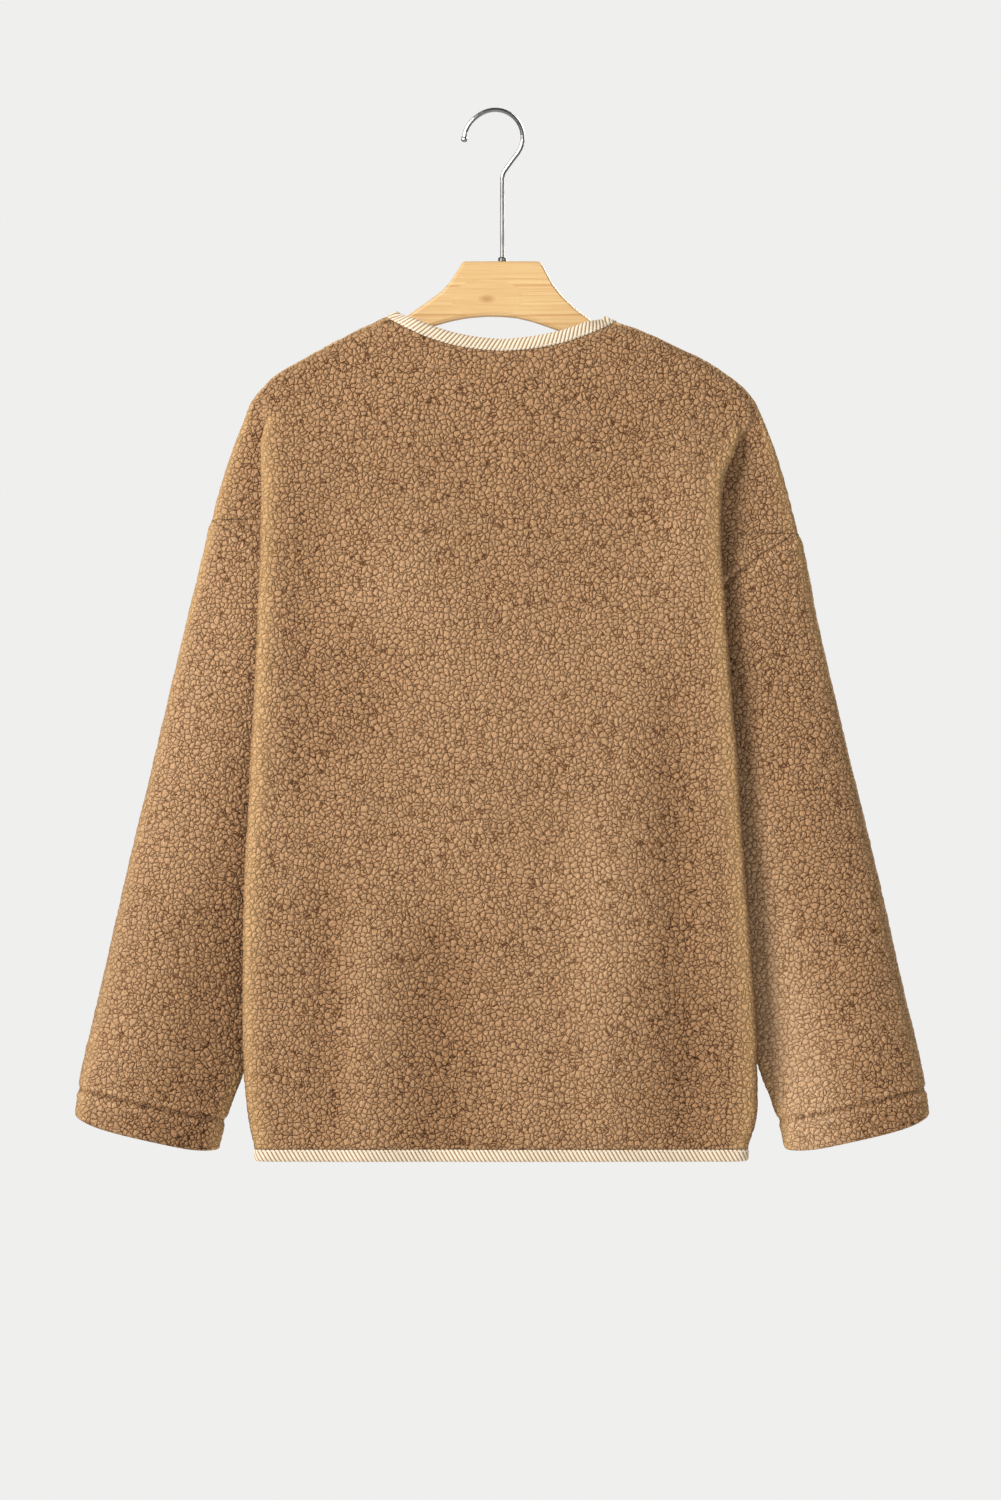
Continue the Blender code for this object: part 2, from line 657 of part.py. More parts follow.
def hook_path():
    """Middle line of the hook's wire, from its ball to its foot."""
    angles = np.radians(np.linspace(178.0, -36.0, 22))
    bend = np.stack(
        [
            HOOK_BEND_RADIUS * np.cos(angles),
            HOOK_BEND_RADIUS * np.sin(angles) + WIRE_RADIUS - HOOK_BEND_RADIUS,
        ],
        axis=1,
    )
    bend[:, 0] -= HOOK_OPENING * ease((angles - 2.0) / 1.1)
    bend[:, 0] -= MIDDLE_X
    foot = WOOD_TOP_Z - STEM_DEPTH + 1.0
    guides = np.array(
        [bend[-1], bend[-1] + (-4.2, -5.2), (3.6, -45.4), (STEM_X, -49.5), (STEM_X, -55.0),
         (STEM_X, -80.0), (STEM_X, -100.0), (STEM_X, foot)]
    )
    neck = spline_weights(len(guides), np.linspace(0.0, 1.0, 15)[1:]) @ guides
    return np.concatenate([bend, neck])


def swept_wire(name, path, radii, paint, sides=8):
    """A round bar along a path in the hanger's plane."""
    along = unit(np.gradient(path, axis=0))
    turned = np.stack([-along[:, 1], along[:, 0]], axis=1)
    points = []
    for place, across, radius in zip(path, turned, radii):
        for k in range(sides):
            angle = 2 * math.pi * k / sides
            out = radius * math.cos(angle)
            points.append(
                (place[0] + out * across[0], radius * math.sin(angle), place[1] + out * across[1])
            )
    faces = []
    for s in range(len(path) - 1):
        for k in range(sides):
            a, b = s * sides + k, s * sides + (k + 1) % sides
            faces.append((a, b, b + sides, a + sides))
    faces.append(tuple(range(sides)))
    faces.append(tuple(range(len(points) - 1, len(points) - sides - 1, -1)))
    return mesh_object(name, points, faces, paint)


def hanger_hook(paint):
    path = hook_path()
    along = unit(path[0] - path[1])
    steps = np.linspace(1.0, -1.0, 8)[:-1]
    ball = path[0] + along * (HOOK_BALL_RADIUS * 0.8)
    ball_path = ball + along * (HOOK_BALL_RADIUS * np.sin(0.5 * math.pi * steps))[:, None] * 0.985
    ball_radii = HOOK_BALL_RADIUS * np.cos(0.5 * math.pi * steps * 0.985) + 0.05
    keep = ball_radii >= np.where(steps < 0, WIRE_RADIUS, 0.0)
    path = np.concatenate([ball_path[keep], path[1:]])
    radii = np.concatenate([ball_radii[keep], np.full(len(path) - keep.sum(), WIRE_RADIUS)])
    return swept_wire("hanger_hook", path, radii, paint)


def ring(name, centre, inner, outer, height, paint, sides=18):
    """A collar with a hole, standing on the hanger."""
    corner = 0.25 * height
    profile = (
        (inner, 0.0), (outer, 0.0), (outer, height - corner), (outer - corner, height),
        (inner, height),
    )
    points = []
    for k in range(sides):
        angle = 2 * math.pi * k / sides
        for radius, up in profile:
            points.append(
                (centre[0] + radius * math.cos(angle), radius * math.sin(angle), centre[1] + up)
            )
    count = len(profile)
    faces = []
    for k in range(sides):
        for j in range(count):
            a, b = k * count + j, k * count + (j + 1) % count
            c = ((k + 1) % sides) * count + (j + 1) % count
            d = ((k + 1) % sides) * count + j
            faces.append((a, b, c, d))
    return mesh_object(name, points, faces, paint)


def button(name, centre, normal, paint):
    """A round button with a raised rim and four holes, lying on the front."""
    work = bmesh.new()
    holes = []
    for sign_x in (-1, 1):
        for sign_z in (-1, 1):
            holes.append((sign_x * BUTTON_HOLE_PITCH / 2, sign_z * BUTTON_HOLE_PITCH / 2))
    sides = 18
    rim = BUTTON_RADIUS - BUTTON_RIM
    profile = (
        (BUTTON_RADIUS - 0.8, 0.0), (BUTTON_RADIUS, 1.2), (BUTTON_RADIUS - 0.6, BUTTON_THICK - 0.3),
        (rim, BUTTON_THICK), (rim - 0.9, BUTTON_THICK - 1.1),
    )
    across = unit(np.cross(normal, (0.0, 0.0, 1.0)))
    up = np.cross(across, normal)

    def place(x, z, out):
        return centre + x * across + z * up + (out + BUTTON_LIFT) * normal

    points, faces = [], []
    for k in range(sides):
        angle = 2 * math.pi * k / sides
        for radius, out in profile:
            points.append(place(radius * math.cos(angle), radius * math.sin(angle), out))
    count = len(profile)
    for k in range(sides):
        for j in range(count - 1):
            a, d = k * count + j, ((k + 1) % sides) * count + j
            faces.append((a, a + 1, d + 1, d))
    hole_sides = 5
    loops = {}
    for out in (0.0, BUTTON_THICK - 1.1):
        outer = [k * count + (0 if out == 0.0 else count - 1) for k in range(sides)]
        rings = []
        for x, z in holes:
            first = len(points)
            for k in range(hole_sides):
                angle = 2 * math.pi * k / hole_sides
                points.append(
                    place(
                        x + BUTTON_HOLE_RADIUS * math.cos(angle) * 0.9,
                        z + BUTTON_HOLE_RADIUS * math.sin(angle) * 0.9,
                        out,
                    )
                )
            rings.append(list(range(first, first + hole_sides)))
        loops[out] = (outer, rings)
    verts = [work.verts.new(p) for p in points]
    for face in faces:
        work.faces.new([verts[i] for i in face])
    for outer, rings in loops.values():
        edges = []
        for loop in [outer] + rings:
            for i, j in zip(loop, loop[1:] + loop[:1]):
                edge = work.edges.get((verts[i], verts[j]))
                edges.append(edge or work.edges.new((verts[i], verts[j])))
        bmesh.ops.triangle_fill(work, edges=edges, use_beauty=True, normal=tuple(normal))
    for low, high in zip(*[rings for _, rings in loops.values()]):
        for k in range(hole_sides):
            j = (k + 1) % hole_sides
            work.faces.new([verts[low[k]], verts[low[j]], verts[high[j]], verts[high[k]]])
    work.verts.index_update()
    solid_points = [tuple(v.co) for v in work.verts]
    solid_faces = [tuple(v.index for v in f.verts) for f in work.faces]
    work.free()
    return mesh_object(name, solid_points, solid_faces, paint)


def panel_grids():
    """Outer points and normals of the back and the two fronts."""
    halves = {}
    for side in (-1, 1):
        for face in (-1, 1):
            stations = BACK_STATIONS if face < 0 else FRONT_STATIONS
            halves[side, face] = half_panel(side, face, row_ends(side), stations)
    for face in (-1, 1):
        middle = 0.5 * (halves[-1, face][:, 0] + halves[1, face][:, 0])
        for side in (-1, 1):
            halves[side, face][:, 0] = middle
    back = np.concatenate([halves[-1, -1][:, :0:-1], halves[1, -1]], axis=1)
    grids = {"back": back}
    for side, name in ((1, "right"), (-1, "left")):
        front = halves[side, 1]
        first = front[:, :1] + np.array([-side * FRONT_OVERLAP, 0.0, 0.0])
        front = np.concatenate([first, front], axis=1)
        if side < 0:
            under = 1 - ease((np.abs(front[:, :, 0]) - FRONT_OVERLAP - 14.0) / 36.0)
            front[:, :, 1] -= FRONT_STEP * under
        grids[name] = front
    return grids


def point_out(grid, normals, away):
    """The normals, turned so that they point out of the garment at one place of the grid."""
    row, place = away
    sign = np.sign(normals[row, place, 1]) * np.sign(grid[row, place, 1])
    return normals * sign


def seam_normals(grids, sleeves):
    """Normals of every panel and sleeve, made the same on the two sides of each seam."""
    normals = {}
    for name, grid in grids.items():
        place = grid.shape[1] // 2 if name == "back" else 1
        normals[name] = point_out(grid, grid_normals(grid), (0, place))
    for side, name in ((-1, "left"), (1, "right")):
        sleeve = sleeves[name]
        around = grid_normals(sleeve, closed=True)
        quarter = sleeve.shape[1] // 4
        normals["sleeve_" + name] = point_out(sleeve, around, (3, quarter))
        column = 0 if side < 0 else -1
        seam_rows = slice(len(LOWER_LEVELS), len(LOWER_LEVELS) + ARM_SAMPLES + 1)
        back_seam = normals["back"][:, column]
        front_seam = normals[name][:, -1]
        mirrored = front_seam * np.array([1.0, -1.0, 1.0])
        shared = unit(back_seam + mirrored)
        top = normals["sleeve_" + name][0, : ARM_SAMPLES + 1][::-1]
        shared[seam_rows] = unit(shared[seam_rows] + top)
        on_middle = np.ones(len(shared), bool)
        on_middle[seam_rows.start + 1 : seam_rows.stop - 1] = False
        shared[on_middle, 1] = 0.0
        shared = unit(shared)
        normals["back"][:, column] = shared
        normals[name][:, -1] = shared * np.array([1.0, -1.0, 1.0])
        loop = np.concatenate(
            [shared[seam_rows][::-1], (shared[seam_rows] * np.array([1.0, -1.0, 1.0]))[1:-1]]
        )
        normals["sleeve_" + name][0] = loop
    return normals


def sleeve_grid(side):
    """Outer points of a sleeve, [loop, place]: each loop runs over its back, then its front."""
    loops = []
    for share in SLEEVE_SHARES:
        half = arm_loop(share, side)
        across = np.linspace(0.0, 1.0, len(half))
        for row in SLEEVE_CREASES:
            crease = dict(zip(CREASE_COLUMNS, row))
            along = (share - crease["along"]) / crease["half_along"]
            wide = (across - crease["across"]) / crease["half_across"]
            half[:, 1] -= crease["height"] * np.exp(-(along**2) - wide**2)
        loop = np.concatenate([half, half[-2:0:-1] * np.array([1.0, -1.0, 1.0])])
        loop[:, 0] *= side
        loops.append(loop)
    return np.array(loops)


def sleeve_solid(name, grid, normals, paint):
    """A tube with a wall, doubled below the stitches of its turned hem."""
    grid = grid.copy()
    grid[0] += SEAM_GAP * unit(grid[1] - grid[0])
    shares = np.array(SLEEVE_SHARES)
    groove = np.where(shares == HEM_DEPTH_SHARE, HEM_GROOVE, 0.0)
    outer = grid - groove[:, None, None] * normals
    thick = np.where(shares > HEM_DEPTH_SHARE, HEM_WALL, WALL)
    thick[-1] = 0.6 * HEM_WALL
    inner = grid - thick[:, None, None] * normals
    loops, sides = outer.shape[:2]
    points = list(outer.reshape(-1, 3)) + list(inner.reshape(-1, 3))
    count = loops * sides
    faces = []
    for s in range(loops - 1):
        for k in range(sides):
            a, b = s * sides + k, s * sides + (k + 1) % sides
            quad = (a, b, b + sides, a + sides)
            faces.append(quad)
            faces.append(tuple(count + i for i in reversed(quad)))
    for s in (0, loops - 1):
        for k in range(sides):
            a, b = s * sides + k, s * sides + (k + 1) % sides
            if 2 * k < sides:
                faces.append((a, b, count + b, count + a))
            else:
                faces.append((b, count + b, count + a, a))
    return mesh_object(name, points, faces, paint)


def build():
    for existing in list(bpy.data.objects):
        bpy.data.objects.remove(existing)
    fleece = material("sherpa_fleece", (0.36, 0.21, 0.115), 0.95)
    twill = material("twill_binding", (0.73, 0.60, 0.45), 0.85)
    wood = material("pale_wood", (0.86, 0.64, 0.35), 0.45)
    steel = material("hook_steel", (0.62, 0.61, 0.59), 0.28, 1.0)
    horn = material("button_horn", (0.20, 0.11, 0.06), 0.35)

    grids = panel_grids()
    sleeves = {"left": sleeve_grid(-1), "right": sleeve_grid(1)}
    normals = seam_normals(grids, sleeves)

    apart = 0.5 * SEAM_GAP
    grids["back"][:, 0, 1] -= apart
    grids["back"][:, -1, 1] -= apart
    rows = len(grids["back"])
    for name in ("left", "right"):
        grids[name][:, -1, 1] += apart

    tapes = {}
    for name, grid in grids.items():
        places = grid.shape[1]
        hem = [(0, p) for p in range(places)]
        neck = [(rows - 1, p) for p in range(places)]
        first = [(r, 0) for r in range(rows)]
        last = [(r, places - 1) for r in range(rows)]
        hem_out = outward_of(grid, normals[name], hem, (0.0, 0.0, -1.0))
        neck_out = outward_of(grid, normals[name], neck)
        for end in (0, -1) if name == "back" else (-1,):
            neck_out[end, 1] = 0.0
        neck_out = unit(neck_out)
        first_out = None
        if name != "back":
            side = 1 if name == "right" else -1
            first_out = outward_of(grid, normals[name], first, (-side, 0.0, 0.0))
        tapes[name] = {"hem": hem_out, "neck": neck_out, "first": first_out}
        solid = "back_panel" if name == "back" else "front_" + name
        edges = [(hem, hem_out), (neck, neck_out), (first, first_out), (last, None)]
        panel_solid(solid, grid, normals[name], edges, fleece)

    for name in ("left", "right"):
        sleeve_solid("sleeve_" + name, sleeves[name], normals["sleeve_" + name], fleece)

    for row, kind in ((0, "hem"), (rows - 1, "neck")):
        path, ups, outs = [], [], []
        for name, order in (("left", 1), ("back", 1), ("right", -1)):
            points = grids[name][row][::order]
            above = normals[name][row][::order]
            out = tapes[name][kind][::order]
            if name != "left":
                path[-1] = 0.5 * (path[-1] + points[0])
                ups[-1] = unit(ups[-1] + above[0])
                outs[-1] = unit(outs[-1] + out[0])
                points, above, out = points[1:], above[1:], out[1:]
            path += list(points)
            ups += list(above)
            outs += list(out)
        path = [path[0] + TAPE_HEIGHT * unit(path[0] - path[1])] + path
        path.append(path[-1] + TAPE_HEIGHT * unit(path[-1] - path[-2]))
        ups = [ups[0]] + ups + [ups[-1]]
        outs = [outs[0]] + outs + [outs[-1]]
        tape(kind + "_binding", np.array(path), np.array(ups), np.array(outs), twill)

    for name in ("left", "right"):
        tape(
            "edge_binding_" + name,
            grids[name][:, 0],
            normals[name][:, 0],
            tapes[name]["first"],
            twill,
        )

    middle = grids["right"][:, 1]
    middle_normals = normals["right"][:, 1]
    for number, height in enumerate(BUTTON_HEIGHTS, 1):
        centre = np.array([np.interp(height, middle[:, 2], middle[:, i]) for i in range(3)])
        facing = np.array(
            [np.interp(height, middle[:, 2], middle_normals[:, i]) for i in range(3)]
        )
        facing[0] = 0.0
        button("button_" + str(number), centre, unit(facing), horn)

    hanger_body(wood)
    hanger_hook(steel)
    ring(
        "hook_collar",
        (STEM_X, WOOD_TOP_Z + SEAM_GAP),
        WIRE_RADIUS + SEAM_GAP,
        COLLAR_RADIUS,
        COLLAR_HEIGHT,
        steel,
    )


build()
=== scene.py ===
"""The fleece jacket on its wooden hanger: cloth, pile, tape, stitches and finishes.

The tables are in millimetres about the middle of the jacket, as the CAD's are. X runs to the
right of the picture, Y from the back of the jacket, at minus Y, to its front, and Z is up.
"""

import math

import bmesh
import bpy
import numpy as np
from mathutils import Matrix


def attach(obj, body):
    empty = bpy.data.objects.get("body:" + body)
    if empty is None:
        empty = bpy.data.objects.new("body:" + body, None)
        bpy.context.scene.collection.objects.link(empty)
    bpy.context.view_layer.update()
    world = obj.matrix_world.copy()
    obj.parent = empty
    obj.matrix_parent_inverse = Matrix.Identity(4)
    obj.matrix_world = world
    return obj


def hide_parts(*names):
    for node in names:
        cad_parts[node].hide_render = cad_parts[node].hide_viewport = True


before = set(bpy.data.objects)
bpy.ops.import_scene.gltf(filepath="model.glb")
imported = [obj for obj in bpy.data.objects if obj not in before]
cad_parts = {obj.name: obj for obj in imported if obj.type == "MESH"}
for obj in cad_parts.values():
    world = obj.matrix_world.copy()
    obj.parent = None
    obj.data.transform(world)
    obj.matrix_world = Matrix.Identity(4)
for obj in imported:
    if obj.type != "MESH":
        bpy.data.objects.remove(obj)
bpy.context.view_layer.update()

MM = 0.001
MIDDLE_X = 5.4
WALL = 5.0
HEM_Z = -831.0
ARMPIT_X = 112.0
ARMPIT_Z = -515.0
ARMHOLE_TO_NECK = 165.0
SLEEVE_LENGTH = 492.0
BACK_NECK_Z = -193.0
FRONT_NECK_Z = -262.0
NECK_POINT_Z = {-1: -164.5, 1: -168.5}
SHOULDER_END_Z = {-1: -327.0, 1: -338.0}
TUCK_TOP_Z = {-1: -228.0, 1: -238.0}
TUCK_LENGTH = 62.0
TUCK_X = 182.0
TUCK_REACH = 16.0
PRESSED = 1.6
PRESSED_SMOOTHING = 3
FRONT_OVERLAP = 8.0
FRONT_STEP = 7.6
TAPE_HEIGHT = 10.0
TONGUE_HALF = 1.0
TONGUE_LENGTH = 8.0
HEM_DEPTH_SHARE = 0.93
HEM_WALL = 8.4

# Visible sides of the body, its depth before the hanger's plane, and the hidden leaf
BODY_COLUMNS = ("z", "edge_left", "edge_right", "depth_mid", "depth_side", "leaf", "inner")
BODY_TABLE = (
    (-831.0, 198.0, 197.0, 31.0, 29.0, 11.0, 166.0),
    (-800.0, 204.0, 204.5, 32.0, 30.5, 12.5, 164.0),
    (-744.0, 207.6, 204.0, 33.5, 33.0, 16.5, 156.0),
    (-680.0, 207.6, 200.0, 35.0, 35.0, 18.8, 145.0),
    (-616.0, 206.4, 195.6, 36.0, 35.5, 19.0, 131.0),
    (-552.0, 202.8, 190.8, 36.0, 35.5, 18.8, 118.0),
    (-515.0, 201.4, 188.8, 35.5, 35.2, 18.6, 112.0),
    (-488.0, 199.8, 186.4, 34.8, 34.8, 18.2, 107.5),
    (-456.0, 198.0, 183.6, 34.0, 34.0, 18.2, 111.0),
    (-392.0, 195.5, 178.8, 32.0, 33.0, 18.0, 128.0),
    (-338.0, 193.5, 176.0, 29.5, 31.8, 17.0, 144.0),
    (-300.0, 193.0, 177.0, 26.5, 30.6, 14.4, 154.0),
    (-264.0, 192.5, 179.0, 24.0, 29.6, 10.2, 156.0),
    (-236.0, 191.5, 184.0, 21.5, 28.0, 9.0, 158.0),
    (-200.0, 188.0, 188.0, 18.0, 18.0, 10.0, 166.0),
    (-164.5, 188.0, 188.0, 17.0, 17.0, 10.0, 166.0),
)

# Outline of the shoulders and of the outer side of the arms
OUTLINE_COLUMNS = ("z", "left", "right")
OUTLINE_TABLE = (
    (-812.0, 345.0, 345.0),
    (-788.0, 341.5, 341.5),
    (-704.0, 322.4, 322.4),
    (-608.0, 300.8, 300.8),
    (-512.0, 277.6, 277.6),
    (-416.0, 255.2, 255.2),
    (-344.0, 237.8, 241.0),
    (-320.0, 232.8, 235.0),
    (-296.0, 226.4, 228.4),
    (-272.0, 218.4, 221.0),
    (-248.0, 208.8, 211.2),
    (-232.0, 201.6, 203.4),
    (-219.2, 191.4, 192.6),
    (-212.8, 184.8, 184.4),
    (-200.0, 163.6, 165.0),
    (-187.2, 140.0, 138.6),
    (-180.8, 127.5, 124.6),
    (-174.4, 114.2, 109.5),
    (-171.0, 107.0, 99.5),
    (-168.5, 102.6, 92.5),
    (-164.5, 94.0, 92.5),
)

# How the shoulder rounds over: its half thickness, and how far in from the outline it takes
RIDGE_COLUMNS = ("z", "radius", "reach")
RIDGE_TABLE = (
    (-515.0, 14.0, 26.0),
    (-327.0, 14.0, 20.0),
    (-260.0, 14.4, 18.0),
    (-225.0, 14.8, 20.0),
    (-200.0, 14.8, 24.0),
    (-184.0, 17.5, 23.0),
    (-167.0, 20.0, 21.0),
)

# Height of a row's middle for the height of its outer end, on the back and on the fronts
MIDDLE_COLUMNS = ("z", "back", "front")
MIDDLE_TABLE = (
    (-831.0, -831.0, -831.0),
    (-400.0, -400.0, -404.0),
    (-300.0, -300.0, -331.0),
    (-236.0, -248.0, -293.0),
    (-210.0, -227.0, -280.0),
    (-182.0, -204.5, -269.0),
    (-166.5, BACK_NECK_Z, FRONT_NECK_Z),
)

# How far the sleeve's upper rows bow in and up at their middle, and down to what share of it
BULGE_X, BULGE_Z, BULGE_SHARE = 24.0, 61.0, 0.35

# Inner side of the hanging sleeve, and the heights of the ends of a row around it
SLEEVE_COLUMNS = ("share", "outer_z", "inner_z", "inner_x", "half_thick")
SLEEVE_TABLE = (
    (0.0, SHOULDER_END_Z[-1], ARMPIT_Z, ARMPIT_X, 14.6),
    (0.2, -424.0, -587.0, 139.0, 16.6),
    (0.5, -570.0, -690.0, 177.5, 20.5),
    (0.8, -722.0, -776.0, 209.0, 22.0),
    (0.93, -784.0, -810.0, 221.0, 20.0),
    (1.0, -812.0, -838.0, 227.0, 17.5),
)

# Soft folds of the hanging cloth: a ridge has a height above 0 and a trough below 0
FOLD_COLUMNS = ("x", "top_z", "bottom_z", "lean", "half_width", "height")
BACK_FOLDS = (
    (-154.0, -280.0, -620.0, 0.0, 22.0, -3.6),
    (-104.0, -400.0, -540.0, -10.0, 34.0, -3.2),
    (-140.0, -560.0, -850.0, 6.0, 18.0, -3.6),
    (-106.0, -600.0, -900.0, -4.0, 20.0, 3.6),
    (-46.0, -590.0, -900.0, -4.0, 24.0, -5.0),
    (78.0, -500.0, -900.0, 4.0, 26.0, 4.6),
    (132.0, -400.0, -900.0, 22.0, 20.0, -5.4),
    (-74.0, -300.0, -450.0, 0.0, 34.0, 2.8),
    (148.0, -240.0, -400.0, 0.0, 22.0, 2.6),
    (20.0, -640.0, -880.0, 6.0, 26.0, 2.4),
)
FRONT_FOLDS = (
    (-150.0, -240.0, -620.0, 4.0, 24.0, -3.4),
    (-96.0, -420.0, -900.0, -8.0, 24.0, 4.0),
    (-52.0, -560.0, -900.0, 4.0, 20.0, -3.6),
    (150.0, -250.0, -560.0, 0.0, 24.0, -3.2),
    (98.0, -360.0, -900.0, 10.0, 26.0, 4.4),
    (56.0, -600.0, -900.0, 0.0, 20.0, -3.4),
)

# Soft creases across the sleeves. Their columns are the share of the sleeve's length and of
# its width, the half sizes as shares, and the height
CREASE_COLUMNS = ("along", "across", "half_along", "half_across", "height")
SLEEVE_CREASES = (
    (0.16, 0.30, 0.05, 0.32, -1.8),
    (0.34, 0.42, 0.06, 0.30, 1.8),
    (0.52, 0.30, 0.05, 0.30, -1.6),
    (0.72, 0.40, 0.07, 0.34, 1.4),
)

# Painted shade and light on the body by height, darker towards the top and the bottom, and the fold
# height at which a ridge is painted fully lighter and a trough fully darker
SHADING_COLUMNS = ("z", "painted_brightness")
SHADING_TABLE = (
    (-831.0, -0.55), (-760.0, -0.45), (-640.0, 0.0), (-520.0, 0.15), (-400.0, 0.05),
    (-300.0, -0.25), (-240.0, -0.40), (-165.0, -0.35),
)
SHADING_FOLD_HEIGHT = 5.0

# Painted shade and light round each sleeve, by the share of the way from its outer side inward: the
# left sleeve lighter on its outer side and darker on its inner side, the right sleeve darker on its
# outer side and lighter on its inner side, where the body casts its shadow
SLEEVE_SHADING_COLUMNS = ("across", "left", "right")
SLEEVE_SHADING_TABLE = (
    (0.0, 0.7, -0.2), (0.25, 0.5, -0.5), (0.45, -0.2, -0.3), (0.60, -1.2, 1.4),
    (0.78, -1.6, 3.0), (1.0, -1.2, 2.2),
)
# Painted shade towards the cuffs
CUFF_SHADE = -0.7
# Painted shade in a seam's pinch and a painted highlight on its turned edge beside it, each as
# (distance from the seam, width, amount)
SEAM_SHADING = ((0.0, 2.2, -2.0), (5.0, 2.6, 1.1))

# Half a section through the arm: the share of the way across it, and the half thickness as a
# share of the table's, first where the arm hangs hollow and then at its round lower end
ARM_COLUMNS = ("across", "hollow", "round_end")
ARM_SECTION = (
    (0.0, 0.0, 0.0), (0.0, 0.62, 0.62), (0.10, 1.02, 1.04), (0.34, 1.18, 1.10),
    (0.62, 0.80, 0.92), (0.86, 0.46, 0.84), (1.0, 0.26, 0.52), (1.0, 0.0, 0.0),
)
ROUND_FROM, ROUND_LENGTH = 0.82, 0.12

GUIDES = 15
ARM_GUIDES = len(ARM_SECTION)
NORMAL_SMOOTHING = 2


def columns_of(table, names):
    """The table's columns by name, in rising order of the first."""
    rows = np.array(sorted(table), float)
    return {name: rows[:, i] for i, name in enumerate(names)}


def smooth(x, xs, ys):
    """A smooth curve through the points, which doesn't overshoot them, read at x."""
    x = np.clip(np.asarray(x, float), xs[0], xs[-1])
    step = np.diff(xs)
    slope = np.diff(ys) / step
    tangent = np.zeros(len(xs))
    same = slope[:-1] * slope[1:] > 0
    w1, w2 = 2 * step[1:] + step[:-1], step[1:] + 2 * step[:-1]
    inner = np.zeros(len(slope) - 1)
    inner[same] = (w1 + w2)[same] / (w1[same] / slope[:-1][same] + w2[same] / slope[1:][same])
    tangent[1:-1] = inner
    tangent[0], tangent[-1] = slope[0], slope[-1]
    i = np.clip(np.searchsorted(xs, x) - 1, 0, len(step) - 1)
    t = (x - xs[i]) / step[i]
    return (
        ys[i] * (1 + 2 * t) * (1 - t) ** 2
        + tangent[i] * step[i] * t * (1 - t) ** 2
        + ys[i + 1] * t * t * (3 - 2 * t)
        + tangent[i + 1] * step[i] * t * t * (t - 1)
    )


BODY = columns_of(BODY_TABLE, BODY_COLUMNS)
OUTLINE = columns_of(OUTLINE_TABLE, OUTLINE_COLUMNS)
RIDGE = columns_of(RIDGE_TABLE, RIDGE_COLUMNS)
MIDDLE = columns_of(MIDDLE_TABLE, MIDDLE_COLUMNS)
SLEEVE = columns_of(SLEEVE_TABLE, SLEEVE_COLUMNS)
SHADING = columns_of(SHADING_TABLE, SHADING_COLUMNS)
SLEEVE_SHADING = columns_of(SLEEVE_SHADING_TABLE, SLEEVE_SHADING_COLUMNS)


def read(columns, name, at):
    """One column of a table, at a value of its first column."""
    return smooth(at, next(iter(columns.values())), columns[name])


def ease(x):
    """0 below 0, 1 above 1, and a smooth step between."""
    x = np.clip(x, 0.0, 1.0)
    return x * x * (3 - 2 * x)


def mix(a, b, share):
    return a + (b - a) * share


def unit(v):
    return v / np.maximum(np.linalg.norm(v, axis=-1, keepdims=True), 1e-9)


def run_length(points):
    """How far along a line each of its points lies."""
    return np.concatenate([[0.0], np.cumsum(np.linalg.norm(np.diff(points, axis=0), axis=1))])


def spline_weights(count, at):
    """Weights of count guide points at places from 0 to 1 of a clamped cubic spline."""
    spans = count - 3
    knots = np.concatenate([[0.0] * 3, np.arange(spans + 1) / spans, [1.0] * 3])
    at = np.clip(np.atleast_1d(np.asarray(at, float)), 0.0, 1.0 - 1e-9)
    weights = ((at[:, None] >= knots[:-1]) & (at[:, None] < knots[1:])).astype(float)
    for degree in range(1, 4):
        low, high = knots[: -degree - 1], knots[degree + 1 :]
        width_left = np.maximum(knots[degree:-1] - knots[: -degree - 1], 1e-12)
        width_right = np.maximum(knots[degree + 1 :] - knots[1:-degree], 1e-12)
        weights = (
            weights[:, :-1] * (at[:, None] - low) / width_left
            + weights[:, 1:] * (high - at[:, None]) / width_right
        )
    return weights


def outline_x(z, side):
    return read(OUTLINE, "left" if side < 0 else "right", z)


def arm_line(share, across, side):
    """A place on the line across the arm, in the hanger's plane: 0 is its outer side."""
    drop = (SHOULDER_END_Z[side] - SHOULDER_END_Z[-1]) * (1 - share) ** 2
    outer_z = read(SLEEVE, "outer_z", share) + drop
    inner_z = read(SLEEVE, "inner_z", share)
    outer_x = outline_x(outer_z, side)
    inner_x = read(SLEEVE, "inner_x", share)
    bulge = 2 * across * (1 - across) * np.clip(1 - share / BULGE_SHARE, 0, 1) ** 2
    low_end = ease((share - 0.9) / 0.1)
    outer_turn = np.clip(1 - across / 0.22, 0, 1) ** 2
    inner_turn = np.clip((across - 0.86) / 0.14, 0, 1) ** 2
    x = mix(outer_x, inner_x, across) - BULGE_X * bulge - 2.0 * low_end * outer_turn
    z = mix(outer_z, inner_z, across) + BULGE_Z * bulge
    z += low_end * (6.0 * outer_turn + 5.0 * inner_turn)
    return x, z


def arm_guides(share, side):
    """Guides of half a loop round the arm, from its outer side over its back to its inner side."""
    section = dict(zip(ARM_COLUMNS, np.array(ARM_SECTION).T))
    rounding = ease((share - ROUND_FROM) / ROUND_LENGTH)
    thick = mix(section["hollow"], section["round_end"], rounding)
    half = read(SLEEVE, "half_thick", share)
    tuck = ease((0.62 - share) / 0.3)
    thick[4:7] *= mix(1.0, 0.92, tuck)
    x, z = arm_line(share, section["across"], side)
    return np.stack([x, -half * thick, z], axis=1)


def arm_loop(share, side, samples):
    """Half a loop round the arm at a share of its length below the shoulder's end."""
    at = np.linspace(0.0, 1.0, samples + 1)
    return spline_weights(ARM_GUIDES, at) @ arm_guides(share, side)


